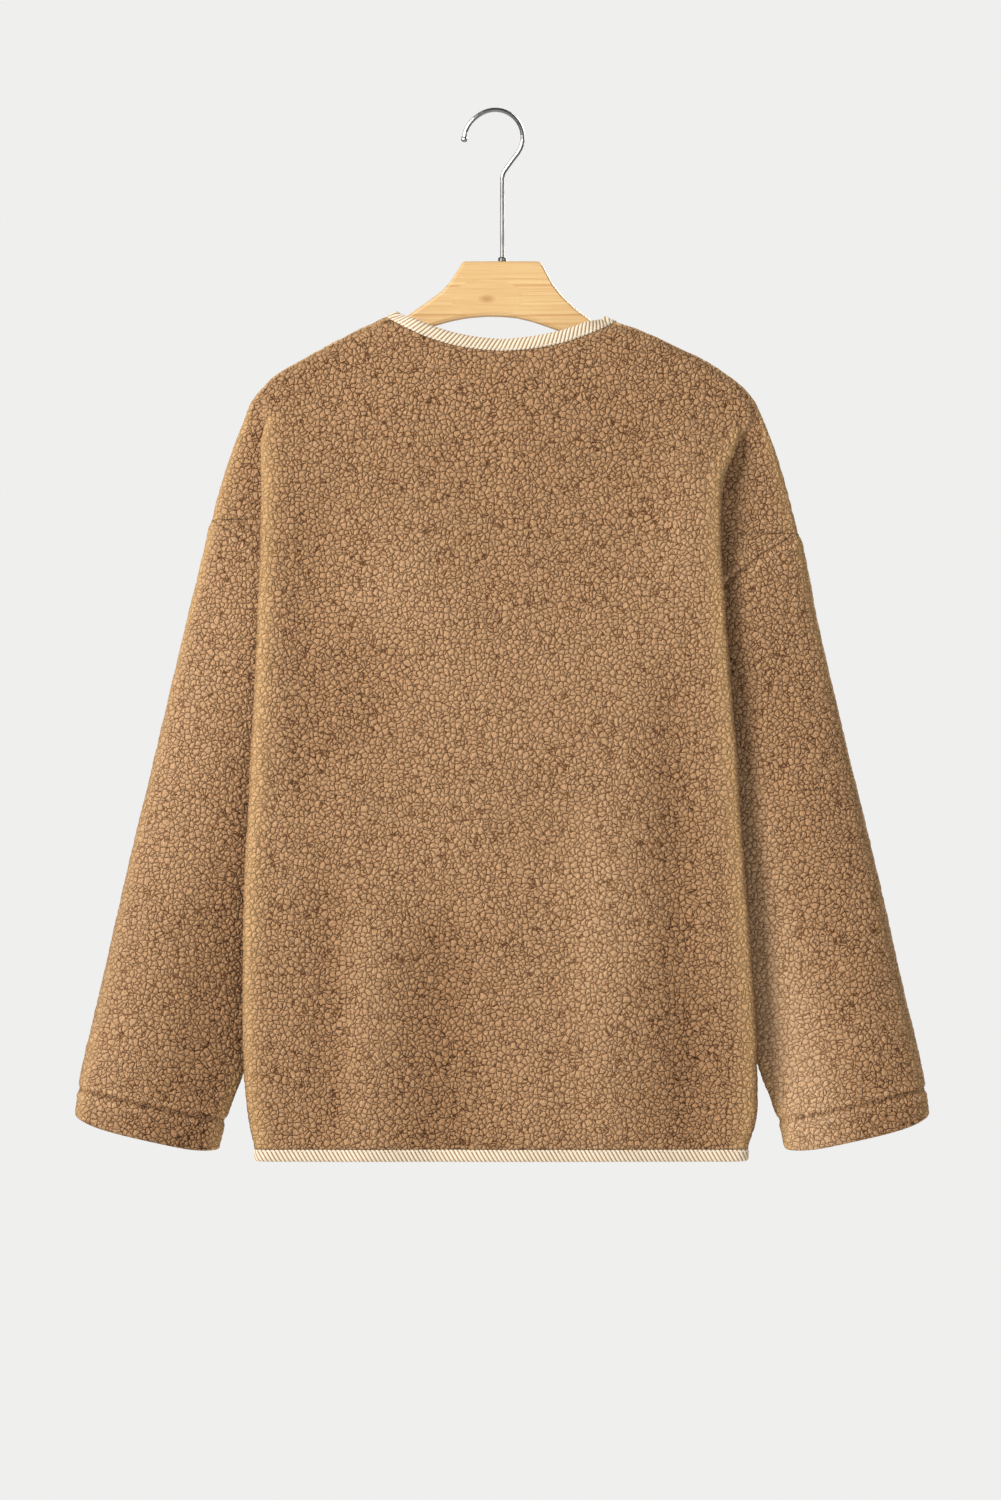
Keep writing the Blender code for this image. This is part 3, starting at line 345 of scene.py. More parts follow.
def plain_guides(level, side):
    """Guides of a section over the shoulder, where nothing is tucked."""
    end = outline_x(level, side)
    radius, reach = read(RIDGE, "radius", level), read(RIDGE, "reach", level)
    depth = read(BODY, "depth_mid", level)
    near = np.array([46.0, 37.0, 30.0, 25.0, 20.5, 16.5, 12.5, 9.0, 5.5, 1.2, 0.0])
    near = near * reach / 27.0
    far = end - (end - near[0]) * np.array([0.0, 0.32, 0.62, 0.85])
    distance = np.concatenate([far, near])
    rounded = np.sqrt(np.clip(1 - (1 - np.clip(distance / reach, 0, 1)) ** 2, 0, 1))
    y = -rounded * mix(radius, depth, ease((distance - reach) / 60.0))
    y[-2:] = -0.5 * radius, 0.0
    x = end - distance
    x[-2:] = end
    return x, y


def tucked_guides(level, side, end):
    """Guides of a section that turns back at the body's edge. end is where it ends, as (x, y)."""
    edge = read(BODY, "edge_left" if side < 0 else "edge_right", level)
    mid, near = read(BODY, "depth_mid", level), read(BODY, "depth_side", level)
    leaf, inner = read(BODY, "leaf", level), read(BODY, "inner", level)
    step = near - leaf
    turn_x = edge + 0.042 * step
    front = [
        (0.0, mid), (0.28 * edge, mid), (0.56 * edge, mix(mid, near, 0.5)),
        (turn_x - 2.0 * step, near), (turn_x - step, near), (turn_x, near), (turn_x, leaf),
        (turn_x - step, leaf),
    ]
    room = turn_x - step - inner
    side_y = -end[1]
    closing = [
        (inner + 0.64 * room, leaf), (inner + min(15.0, 0.34 * room), leaf),
        (inner + min(4.0, 0.1 * room), mix(side_y, leaf, 0.92)), (inner, mix(side_y, leaf, 0.72)),
        (mix(inner, end[0], 0.3), mix(side_y, leaf, 0.48)),
        (mix(inner, end[0], 0.7), mix(side_y, leaf, 0.24)), (end[0], side_y),
    ]
    turn = leaf - 4.0
    radius = read(RIDGE, "radius", level)
    seam = ease(side_y / 11.0)
    arm_y = max(radius, side_y)
    opening = [
        (inner + 0.6 * room, leaf), (inner + 6.0, leaf), (inner - 3.0, leaf - 1.0),
        (inner + 3.0, turn), (mix(inner + 3.0, end[0], 0.52), mix(turn, arm_y, 0.6)),
        (mix(inner + 3.0, end[0], mix(1.0, 0.85, seam)), mix(0.55 * radius, side_y, seam)),
        (end[0], side_y),
    ]
    share = ease((level - ARMPIT_Z) / 45.0)
    rest = [tuple(mix(np.array(a), np.array(b), share)) for a, b in zip(closing, opening)]
    points = np.array(front + rest)
    return points[:, 0], -points[:, 1]


def section_guides(level, side, middle_z, end=None):
    """Guides of half a section. end is its last point where that lies on the armhole seam."""
    if end is None:
        x = read(BODY, "inner", level) if level < ARMPIT_Z else outline_x(level, side)
        end = (x, 0.0, level)
    tucked = ease((TUCK_TOP_Z[side] - level) / TUCK_LENGTH)
    plain_x, plain_y = plain_guides(max(level, SHOULDER_END_Z[side]), side)
    tucked_x, tucked_y = tucked_guides(level, side, end)
    x, y = mix(plain_x, tucked_x, tucked), mix(plain_y, tucked_y, tucked)
    flat = 0.8 * read(RIDGE, "reach", level) * ease((NECK_POINT_Z[side] - level) / 24.0)
    place = np.clip(x / mix(x[-1] - flat, x[5], tucked), 0, 1) ** 2.1
    place[5:] = mix(place[5:], 1.0, tucked)
    z = middle_z + (level - middle_z) * place
    z[-1] = end[2]
    return np.stack([x, y, z], axis=1)


def relief(x, z, folds):
    """Height of the soft folds at a place on a panel."""
    total = np.zeros_like(x)
    for row in folds:
        fold = dict(zip(FOLD_COLUMNS, row))
        length = fold["top_z"] - fold["bottom_z"]
        down = (fold["top_z"] - z) / length
        centre = fold["x"] + fold["lean"] * down
        width = np.exp(-(((x - centre) / fold["half_width"]) ** 2))
        total += fold["height"] * width * ease(down / 0.3) * ease((1 - down) / 0.3)
    return total


def painted_shading(grid, face):
    """Painted shade and light: above 0, painted lighter, on a ridge of the cloth, below 0, painted
    darker, in a trough, with the painted tone of each height added.
    """
    folds = BACK_FOLDS if face < 0 else FRONT_FOLDS
    height = relief(grid[:, :, 0], grid[:, :, 2], folds)
    return np.clip(height / SHADING_FOLD_HEIGHT, -1.0, 1.0) + read(SHADING, "painted_brightness", grid[:, :, 2])


def seam_shading(away):
    """Painted shade in a seam's pinch, and a painted highlight on the seam's turned edge beside it.
    """
    return sum(height * np.exp(-(((away - at) / width) ** 2)) for at, width, height in SEAM_SHADING)


def half_panel(side, face, ends, stations):
    """Outer points of half a panel, [row, place, xyz]. face is -1 on the back, 1 on a front."""
    folds, column = (BACK_FOLDS, "back") if face < 0 else (FRONT_FOLDS, "front")
    at = np.asarray(stations) / (GUIDES - 3)
    weights = spline_weights(GUIDES, at)
    cover = 1 - ease((at - 3.6 / 12) / (1.2 / 12))
    rows = []
    for level, other_level, end in ends:
        average = 0.5 * (level + other_level)
        middle_z = read(MIDDLE, column, average)
        points = weights @ section_guides(level, side, middle_z, end)
        points[:, 0] *= side
        fade = ease((NECK_POINT_Z[1] - 8.0 - points[:, 2]) / 60.0)
        points[:, 1] -= relief(points[:, 0], points[:, 2], folds) * cover * fade
        points[:, 1] *= -face
        rows.append(points)
    return np.array(rows)


def grid_normals(grid, closed=False):
    """Normals of a grid of points, [row, place]."""
    along = np.gradient(grid, axis=0)
    if closed:
        across = np.roll(grid, -1, axis=1) - np.roll(grid, 1, axis=1)
    else:
        across = np.gradient(grid, axis=1)
    normals = unit(np.cross(across, along))
    if closed:
        return normals
    for _ in range(NORMAL_SMOOTHING):
        padded = np.concatenate([normals[:, :1], normals, normals[:, -1:]], axis=1)
        normals = unit(padded[:, :-2] + 2 * normals + padded[:, 2:])
    return normals


def tuck_start(grid):
    """1 where the tuck begins, falling to 0 away from it."""
    top = np.where(grid[:, :, 0] < 0, TUCK_TOP_Z[-1], TUCK_TOP_Z[1])
    down = (grid[:, :, 2] - top + 0.5 * TUCK_LENGTH) / (0.5 * TUCK_LENGTH)
    across = (np.abs(grid[:, :, 0]) - TUCK_X) / TUCK_REACH
    return np.exp(-(down**2) - across**2)[:, :, None]


def inner_points(grid, normals):
    """The wall's inner face. Where the tuck begins the cloth is pressed, and its folds are soft."""
    pressed = tuck_start(grid)
    inner = grid - (WALL - PRESSED * pressed) * normals
    for _ in range(PRESSED_SMOOTHING):
        middle = 0.5 * (inner[:, :-2] + inner[:, 2:])
        inner[:, 1:-1] += 0.7 * pressed[:, 1:-1] * (middle - inner[:, 1:-1])
    return inner


def outward_of(grid, normals, border):
    """Directions out of the cloth at a border, in the cloth's own surface."""
    edge = np.array([grid[r, p] for r, p in border])
    edge_normals = np.array([normals[r, p] for r, p in border])
    along = unit(np.gradient(edge, axis=0))
    out = unit(np.cross(along, edge_normals))
    inside = np.array([grid[r - 1 if r > 0 else r + 1, p] for r, p in border])
    if ((edge - inside) * out).sum() < 0:
        out = -out
    return out


# How closely the cloth's points lie, and how many of them go to one point of its inner side
CLOTH_STEP = 2.45
HIDDEN_STEP = 4.6
SLEEVE_STEP = 2.0
LINING_STRIDE = 4
SEAM_SAMPLES = 116
FOLD_SPAN = 6.4
TURN_SPAN = 3.7
TURN_WIDTH = 0.8
TURN_TOP = -275.0
TURN_FADE = 60.0
# How much darker the turn under the side fold is painted, as its shade
TURN_SHADE = 2.6
CAP_SPAN = 9.6
CAP_WIDTH = 0.4
BODY_LEVEL = -600.0
CAP_LEVEL = -345.0
SECTION_SPANS = GUIDES - 3

# Pile: curls of a few millimetres, and softer lumps under them
CURL_SEED = 7
CURL_SIZE = 5.2
CURL_HEIGHT = 0.7
CURL_EDGE = 0.45
CURL_LEVEL = 0.85
LUMP_SIZE = 13.0
LUMP_HEIGHT = 0.7
LUMP_LEVEL = 0.5
BEND_REACH = 3
BEND_FROM = 0.035
BEND_TO = 0.10
BEND_SPREAD = 4
BEND_GAIN = 1.35
SEAM_DIP = 1.8
SEAM_DIP_WIDTH = 4.5
BOUND_FADE = 3.0
SLEEVE_GROOVE = 1.7
SLEEVE_GROOVE_WIDTH = 2.6
CUFF_ROUND = 4.0
CUFF_TURN_IN = 0.45
CUFF_PILE_LOSS = 0.6
CUFF_EDGE_WALL = 0.6
LAP_REACH = 14.0
LAP_FADE = 36.0

# Twill tape: slanting ribs and a row of stitches near its open edge
RIB_PITCH = 3.5
RIB_HEIGHT = 0.6
RIB_SLANT = -0.58
RIB_STEP = 0.5
STITCH_LENGTH = 2.3
STITCH_PITCH = 3.1
STITCH_RADIUS = 0.36
TAPE_STITCH_OUT = 1.9
TAPE_STITCH_UP = 3.05
CUFF_STITCH_LENGTH = 2.4
CUFF_STITCH_PITCH = 3.6
CUFF_STITCH_DEPTH = SLEEVE_GROOVE + 0.1

# Threads of a button, which arch between its four holes
HOLE_PITCH = 2.4
THREAD_RADIUS = 0.4
ARCH_FLATNESS = 0.7
THREAD_SEAT = -1.1

# The room, in metres and as shares of full brightness, and the camera
FLOOR_Z = -2.6
FLOOR_HALF = 6.0
FLOOR_GLOW = 0.34
ROOM_GLOW = 0.18
BACKDROP = 0.865
AIM = (0.0042, 0.0, -0.512)
CAMERA_AWAY = 6.6
FRAME_HEIGHT = 1.2
SHARP_AT = 0.02
SENSOR = 36.0

BUTTONS = 5
SLEEVES = ("left", "right")
SIDE_OF = {"left": -1, "right": 1}


def cells(points, size, seed):
    """Distances to the nearest and the second nearest of scattered centres, as shares of size."""
    count = 32
    scatter = np.random.default_rng(seed).random((count, count, count, 3))
    at = points / size
    base = np.floor(at).astype(int)
    nearest = np.full(len(points), 9.0)
    second = nearest.copy()
    for dx in (-1, 0, 1):
        for dy in (-1, 0, 1):
            for dz in (-1, 0, 1):
                cell = base + (dx, dy, dz)
                i, j, k = (cell % count).T
                away = np.linalg.norm(at - cell - scatter[i, j, k], axis=1)
                second = np.minimum(second, np.maximum(nearest, away))
                nearest = np.minimum(nearest, away)
    return nearest, second


def piled(grid, normals, strength):
    """The grid with its pile raised, and how deep each point lies between the curls, which the
    finish paints as shade there.
    """
    flat = grid.reshape(-1, 3)
    nearest, second = cells(flat, CURL_SIZE, CURL_SEED)
    curl = np.sqrt(np.clip((second - nearest) / CURL_EDGE, 0.0, 1.0))
    lump, _ = cells(flat, LUMP_SIZE, CURL_SEED + 1)
    rise = CURL_HEIGHT * (curl - CURL_LEVEL) + LUMP_HEIGHT * (LUMP_LEVEL - lump)
    rise = rise.reshape(grid.shape[:2]) * strength
    curl = curl.reshape(grid.shape[:2])
    return grid + rise[:, :, None] * normals, curl


def bend(grid, normals, closed):
    """1 where the cloth turns sharply round an edge, 0 where it is flat. It places a painted
    highlight on the edge, partly the lighter sides of the pile fanned out there and partly the
    light that catches the edge.
    """

    def apart(v):
        if closed:
            return np.roll(v, -BEND_REACH, axis=1) - np.roll(v, BEND_REACH, axis=1)
        padded = np.pad(v, ((0, 0), (BEND_REACH, BEND_REACH), (0, 0)), mode="edge")
        return padded[:, 2 * BEND_REACH :] - padded[:, : -2 * BEND_REACH]

    way = apart(grid)
    curvature = (apart(normals) * way).sum(axis=2) / np.maximum((way**2).sum(axis=2), 1.0)
    sharp = ease((curvature - BEND_FROM) / (BEND_TO - BEND_FROM))
    reach = np.arange(-3 * BEND_SPREAD, 3 * BEND_SPREAD + 1)
    weights = np.exp(-((reach / BEND_SPREAD) ** 2))
    around = ((0, 0), (len(reach) // 2,) * 2)
    padded = np.pad(sharp, around, mode="wrap" if closed else "edge")
    spread = sum(w * padded[:, k : k + sharp.shape[1]] for k, w in enumerate(weights))
    return np.clip(BEND_GAIN * spread / weights.sum(), 0.0, 1.0)


def cloth_object(name, points, faces, paint, **fields):
    """A cloth mesh from points in millimetres. Each field is kept as an attribute of it."""
    mesh = bpy.data.meshes.new(name)
    placed = (np.asarray(points, float) + (MIDDLE_X, 0.0, 0.0)) * MM
    mesh.from_pydata(placed.tolist(), [], faces)
    work = bmesh.new()
    work.from_mesh(mesh)
    bmesh.ops.recalc_face_normals(work, faces=work.faces)
    if work.calc_volume(signed=True) < 0:
        bmesh.ops.reverse_faces(work, faces=work.faces)
    work.to_mesh(mesh)
    work.free()
    for field, given in fields.items():
        values = np.zeros(len(points), np.float32)
        values[: given.size] = given.reshape(-1)
        mesh.attributes.new(field, "FLOAT", "POINT").data.foreach_set("value", values)
    mesh.materials.append(paint)
    mesh.shade_smooth()
    made = bpy.data.objects.new(name, mesh)
    bpy.context.scene.collection.objects.link(made)
    return made


def quads(first, rows, places, closed=False, turned=False):
    """Faces of a grid of points that are numbered from first, row by row."""
    faces = []
    for r in range(rows - 1):
        for p in range(places if closed else places - 1):
            a, b = first + r * places + p, first + r * places + (p + 1) % places
            ring = (a, b, b + places, a + places)
            faces.append((a, *ring[:0:-1]) if turned else ring)
    return faces


def join_strips(faces, fine, coarse):
    """Closes the way from a line of close points to a line with fewer."""
    stride = (len(fine) - 1) // (len(coarse) - 1)
    for k in range(len(coarse) - 1):
        part = fine[k * stride : (k + 1) * stride + 1]
        faces.append(tuple(part) + (coarse[k + 1], coarse[k]))


def panel_shell(name, outer, fields, inner, edges, paint):
    """A panel's wall: piled outer side, plainer inner side, and its edges. Each edge is
    (row and place numbers of its points, the strips of its tongue or None for a seam)."""
    rows, places = outer.shape[:2]
    few = inner.shape[1]
    points = list(outer.reshape(-1, 3)) + list(inner.reshape(-1, 3))
    first_inner = rows * places
    faces = quads(0, rows, places) + quads(first_inner, len(inner), few, turned=True)
    for border, strips in edges:
        outer_ids = [r * places + p for r, p in border]
        inner_ids = [
            first_inner + (r // LINING_STRIDE) * few + p // LINING_STRIDE
            for r, p in border[::LINING_STRIDE]
        ]
        lines = [outer_ids]
        for strip in strips or ():
            lines.append(list(range(len(points), len(points) + len(strip))))
            points += list(strip)
        for upper, lower in zip(lines, lines[1:]):
            for k in range(len(outer_ids) - 1):
                faces.append((upper[k + 1], upper[k], lower[k], lower[k + 1]))
        join_strips(faces, lines[-1], inner_ids)
        if strips:
            faces.append(tuple(line[0] for line in lines) + (inner_ids[0],))
            faces.append(tuple(line[-1] for line in lines[::-1]) + (inner_ids[-1],))
    return cloth_object(name, points, faces, paint, **fields)


def sleeve_shell(name, outer, fields, inner, paint):
    """A sleeve's wall, closed at the armhole and round its turned hem."""
    loops, sides = outer.shape[:2]
    few = inner.shape[1]
    points = list(outer.reshape(-1, 3)) + list(inner.reshape(-1, 3))
    first_inner = loops * sides
    faces = quads(0, loops, sides, closed=True)
    faces += quads(first_inner, len(inner), few, closed=True, turned=True)
    for s, t in ((0, 0), (loops - 1, inner.shape[0] - 1)):
        fine = [s * sides + k for k in range(sides)] + [s * sides]
        coarse = [first_inner + t * few + k for k in range(few)] + [first_inner + t * few]
        join_strips(faces, fine, coarse)
    return cloth_object(name, points, faces, paint, **fields)


def close_stations():
    """Places along a section, close over what shows and wider on the hidden leaf."""
    at = np.linspace(0.0, SECTION_SPANS, 1201)
    weights = spline_weights(GUIDES, at / SECTION_SPANS)
    length = {}
    for level in (BODY_LEVEL, CAP_LEVEL):
        line = weights @ section_guides(level, 1, level)
        length[level] = np.linalg.norm(np.diff(line, axis=0), axis=1)
    step = mix(CLOTH_STEP, HIDDEN_STEP, ease((at[1:] - FOLD_SPAN) / 0.8))
    cap = ease((at[1:] - CAP_SPAN) / CAP_WIDTH)
    steps = mix(length[BODY_LEVEL] / step, length[CAP_LEVEL] / CLOTH_STEP, cap)
    travelled = np.concatenate([[0.0], np.cumsum(steps)])
    count = LINING_STRIDE * round(travelled[-1] / LINING_STRIDE)
    return np.interp(np.linspace(0.0, travelled[-1], count + 1), travelled, at)


def close_rows(side):
    """(level, the other side's level, end) of each row, from the hem up to the neck point."""
    below = LINING_STRIDE * round((ARMPIT_Z - HEM_Z) / CLOTH_STEP / LINING_STRIDE)
    above = LINING_STRIDE * round(ARMHOLE_TO_NECK / CLOTH_STEP / LINING_STRIDE)
    rows = [(level, level, None) for level in np.linspace(HEM_Z, ARMPIT_Z, below + 1)[:-1]]
    seams = {s: arm_loop(0.0, s, SEAM_SAMPLES)[::-1] for s in (-1, 1)}
    for own, other in zip(seams[side], seams[-side]):
        rows.append((own[2], other[2], tuple(own)))
    up = {s: np.linspace(SHOULDER_END_Z[s], NECK_POINT_Z[s], above + 1)[1:] for s in (-1, 1)}
    rows += [(own, other, None) for own, other in zip(up[side], up[-side])]
    return rows, below


def panel_grids():
    """Outer points of the back and the two fronts, and the first row of the armhole."""
    stations = close_stations()
    halves = {}
    for side in (-1, 1):
        rows, below = close_rows(side)
        for face in (-1, 1):
            halves[side, face] = half_panel(side, face, rows, stations)
    for face in (-1, 1):
        middle = 0.5 * (halves[-1, face][:, 0] + halves[1, face][:, 0])
        for side in (-1, 1):
            halves[side, face][:, 0] = middle
    grids = {"back": np.concatenate([halves[-1, -1][:, :0:-1], halves[1, -1]], axis=1)}
    for name, side in SIDE_OF.items():
        front = halves[side, 1]
        lap = [
            front[:, :1] + (-side * FRONT_OVERLAP * k / LINING_STRIDE, 0.0, 0.0)
            for k in range(LINING_STRIDE, 0, -1)
        ]
        front = np.concatenate(lap + [front], axis=1)
        if side < 0:
            under = 1 - ease((np.abs(front[:, :, 0]) - FRONT_OVERLAP - LAP_REACH) / LAP_FADE)
            front[:, :, 1] -= FRONT_STEP * under
        grids[name] = front
    return grids, below


def outside(grid, closed, row, place):
    """The grid's normals, turned out of the garment."""
    normals = grid_normals(grid, closed)
    return normals * np.sign(normals[row, place, 1]) * np.sign(grid[row, place, 1])


def sleeve_grid(side):
    """Outer points of a sleeve, [loop, place]: each loop runs over its back, then its front."""
    loops = []
    count = LINING_STRIDE * round(SLEEVE_LENGTH / SLEEVE_STEP / LINING_STRIDE)
    for share in np.linspace(0.0, 1.0, count + 1):
        half = arm_loop(share, side, SEAM_SAMPLES)
        across = np.linspace(0.0, 1.0, len(half))
        for row in SLEEVE_CREASES:
            crease = dict(zip(CREASE_COLUMNS, row))
            along = (share - crease["along"]) / crease["half_along"]
            wide = (across - crease["across"]) / crease["half_across"]
            half[:, 1] -= crease["height"] * np.exp(-(along**2) - wide**2)
        loop = np.concatenate([half, half[-2:0:-1] * np.array([1.0, -1.0, 1.0])])
        loop[:, 0] *= side
        loops.append(loop)
    return np.array(loops)


def along_rows(grid):
    """How far each row's points lie from the last row, down the grid."""
    step = np.linalg.norm(np.diff(grid, axis=0), axis=2)
    return np.concatenate([np.cumsum(step[::-1], axis=0)[::-1], np.zeros((1, grid.shape[1]))])


def tongue(points, normals, outward):
    """Strips of the thin tongue that a cloth edge puts into its tape."""
    centre = points - 0.5 * WALL * normals
    start, tip = centre + 0.2 * outward, centre + TONGUE_LENGTH * outward
    corners = ((start, 1), (tip, 1), (tip, -1), (start, -1))
    return [place + up * TONGUE_HALF * normals for place, up in corners]


def fold_turn(grid, spans):
    """How far the cloth has turned in under the side fold, where it lies in its own shadow; there
    painted shade darkens it and the edge's painted highlight is taken off.
    """
    across = ease((spans - TURN_SPAN) / TURN_WIDTH) * (1 - ease((spans - CAP_SPAN) / CAP_WIDTH))
    return across * ease((TURN_TOP - grid[:, :, 2]) / TURN_FADE)


def make_panels(grids, normals, paint):
    """The back and the two fronts, and the tongue directions of their bound edges."""
    made, bound = {}, {}
    spans = close_stations()
    for name, grid in grids.items():
        rows, places = grid.shape[:2]
        borders = {
            "hem": [(0, p) for p in range(places)],
            "neck": [(rows - 1, p) for p in range(places)],
        }
        outward = {
            "hem": np.tile((0.0, 0.0, -1.0), (places, 1)),
            "neck": outward_of(grid, normals[name], borders["neck"]),
        }
        seams = [[(r, places - 1) for r in range(rows)]]
        first = [(r, 0) for r in range(rows)]
        if name == "back":
            seams.append(first)
            outward["neck"][[0, -1], 1] = 0.0
        else:
            borders["front"] = first
            outward["front"] = np.tile((-float(SIDE_OF[name]), 0.0, 0.0), (rows, 1))
            outward["neck"][-1, 1] = 0.0
        outward["neck"] = unit(outward["neck"])
        strength = np.ones((rows, places))
        for edge in (grid[:1], grid[-1:]) + (() if name == "back" else (grid[:, :1],)):
            strength *= ease(np.linalg.norm(grid - edge, axis=2) / BOUND_FADE)
        dip, seam_shading_sum = np.zeros((rows, places)), np.zeros((rows, places))
        for border in seams:
            place = border[0][1]
            away = np.linalg.norm(grid - grid[:, place : place + 1], axis=2)
            dip += SEAM_DIP * np.exp(-((away / SEAM_DIP_WIDTH) ** 2))
            seam_shading_sum += seam_shading(away)
        outer, curl = piled(grid - dip[:, :, None] * normals[name], normals[name], strength)
        few = grid[::LINING_STRIDE, ::LINING_STRIDE]
        lining = inner_points(few, normals[name][::LINING_STRIDE, ::LINING_STRIDE])
        edges = []
        bound[name] = {}
        for kind, border in borders.items():
            at = np.array([grid[r, p] for r, p in border])
            up = np.array([normals[name][r, p] for r, p in border])
            bound[name][kind] = (at, up, outward[kind])
            edges.append((border, tongue(at, up, outward[kind])))
        edges += [(border, None) for border in seams]
        if name == "back":
            piece, face, before = "back_panel", -1, spans[:0:-1]
        else:
            piece, face, before = "front_" + name, 1, np.zeros(places - len(spans))
        turned = fold_turn(grid, np.concatenate([before, spans]))
        # Fields that paint the colour: shade between the curls, a highlight on sharp edges, and
        # shade and light over folds, seams, heights and the turn under the side fold
        fields = {
            "curl": curl, "bend": bend(grid, normals[name], False) * (1 - turned),
            "painted_shading": painted_shading(grid, face) + seam_shading_sum - TURN_SHADE * turned,
        }
        made[piece] = panel_shell(piece + "_cloth", outer, fields, lining, edges, paint)
    return made, bound


def make_sleeve(name, grid, normals, paint):
    """A sleeve with its pile, the groove of its hem's stitches and a rounded lower edge."""
    left = along_rows(grid)
    from_top = left[:1] - left
    hem = left[round(HEM_DEPTH_SHARE * (len(grid) - 1))]
    dip = SEAM_DIP * np.exp(-((from_top / SEAM_DIP_WIDTH) ** 2))
    dip += SLEEVE_GROOVE * np.exp(-(((left - hem) / SLEEVE_GROOVE_WIDTH) ** 2))
    turn = np.clip(1 - left / CUFF_ROUND, 0, 1)
    dip += CUFF_TURN_IN * CUFF_ROUND * (1 - np.sqrt(1 - turn**2))
    outer, curl = piled(grid - dip[:, :, None] * normals, normals, 1 - CUFF_PILE_LOSS * turn)
    few = grid[::LINING_STRIDE, ::LINING_STRIDE]
    doubled = np.linspace(0.0, 1.0, len(few)) > HEM_DEPTH_SHARE
    thick = np.where(doubled, HEM_WALL, WALL)
    thick[-1] = CUFF_EDGE_WALL * HEM_WALL
    lining = few - thick[:, None, None] * normals[::LINING_STRIDE, ::LINING_STRIDE]
    piece = "sleeve_" + name
    shares = np.linspace(0.0, 1.0, len(grid))[:, None]
    across = np.linspace(0.0, 1.0, SEAM_SAMPLES + 1)
    # Painted shade and light round the sleeve, at its cuff and at its seams
    round_it = read(SLEEVE_SHADING, name, across)
    round_it = np.concatenate([round_it, round_it[-2:0:-1]])[None, :]
    shading_amount = round_it * ease(shares / 0.2) + CUFF_SHADE * ease((shares - 0.8) / 0.2)
    shading_amount = shading_amount + seam_shading(from_top) + seam_shading(np.abs(left - hem))
    fields = {"curl": curl, "bend": bend(grid, normals, True), "painted_shading": shading_amount}
    return sleeve_shell(piece + "_cloth", outer, fields, lining, paint)


# A cut through the folded tape: out of the cloth, up from its middle, and the ribs' share
TAPE_COLUMNS = ("out", "up", "rib")
TAPE_PROFILE = (
    (0.35, 2.55, 0.3), (1.0, 2.85, 0.8), (2.2, 2.95, 0.8), (3.4, 2.9, 1.0), (4.6, 2.9, 1.0),
    (5.8, 2.85, 1.0), (7.0, 2.8, 1.0), (8.0, 2.6, 1.0), (9.0, 2.2, 0.9), (9.8, 1.5, 0.7),
    (10.2, 0.6, 0.6), (10.2, -0.6, 0.6), (9.8, -1.5, 0.7), (9.0, -2.2, 0.9), (8.0, -2.6, 1.0),
    (7.0, -2.8, 1.0), (5.8, -2.85, 1.0), (4.6, -2.9, 1.0), (3.4, -2.9, 1.0), (2.2, -2.95, 0.8),
    (1.0, -2.85, 0.8), (0.35, -2.55, 0.3), (0.45, -1.5, 0.0), (8.4, -1.4, 0.0), (8.4, 1.4, 0.0),
    (0.45, 1.5, 0.0),
)


def tape(name, points, normals, outward, paint):
    """Folded twill tape round a cloth edge, with its ribs raised."""
    length = run_length(points)
    count = round(length[-1] / RIB_STEP) + 1
    even = np.interp(np.linspace(0.0, length[-1], count), length, np.arange(len(points)))
    low = np.clip(even.astype(int), 0, len(points) - 2)
    share = (even - low)[:, None]
    points, normals, outward = (
        v[low] * (1 - share) + v[low + 1] * share for v in (points, normals, outward)
    )
    normals, outward = unit(normals), unit(outward)
    along = np.linspace(0.0, length[-1], count)
    cut = dict(zip(TAPE_COLUMNS, np.array(TAPE_PROFILE).T))
    profile = np.stack([cut["out"], cut["up"]], axis=1)
    round_it = run_length(profile)
    turned = np.gradient(profile, axis=0)
    facing = unit(np.stack([turned[:, 1], -turned[:, 0]], axis=1)) * -1.0
    phase = (along[:, None] + RIB_SLANT * round_it[None, :]) / RIB_PITCH
    height = RIB_HEIGHT * cut["rib"] * (np.abs(np.cos(math.pi * phase)) - 0.6)
    out = profile[:, 0] + height * facing[:, 0]
    up = profile[:, 1] + height * facing[:, 1]
    centre = points - 0.5 * WALL * normals
    rings = centre[:, None] + out[:, :, None] * outward[:, None] + up[:, :, None] * normals[:, None]
    sides = len(profile)
    faces = quads(0, count, sides, closed=True)
    faces.append(tuple(range(sides - 1, -1, -1)))
    faces.append(tuple((count - 1) * sides + k for k in range(sides)))
    made = cloth_object(name, rings.reshape(-1, 3), faces, paint)
    uv = made.data.uv_layers.new(name="tape")
    corners = np.empty(len(made.data.loops), int)
    made.data.loops.foreach_get("vertex_index", corners)
    ring_of, side_of = corners // sides, corners % sides
    place = np.stack([along[ring_of], round_it[side_of]], axis=1) * MM
    uv.data.foreach_set("uv", place.reshape(-1).astype(np.float32))
    return made, (points, normals, outward)


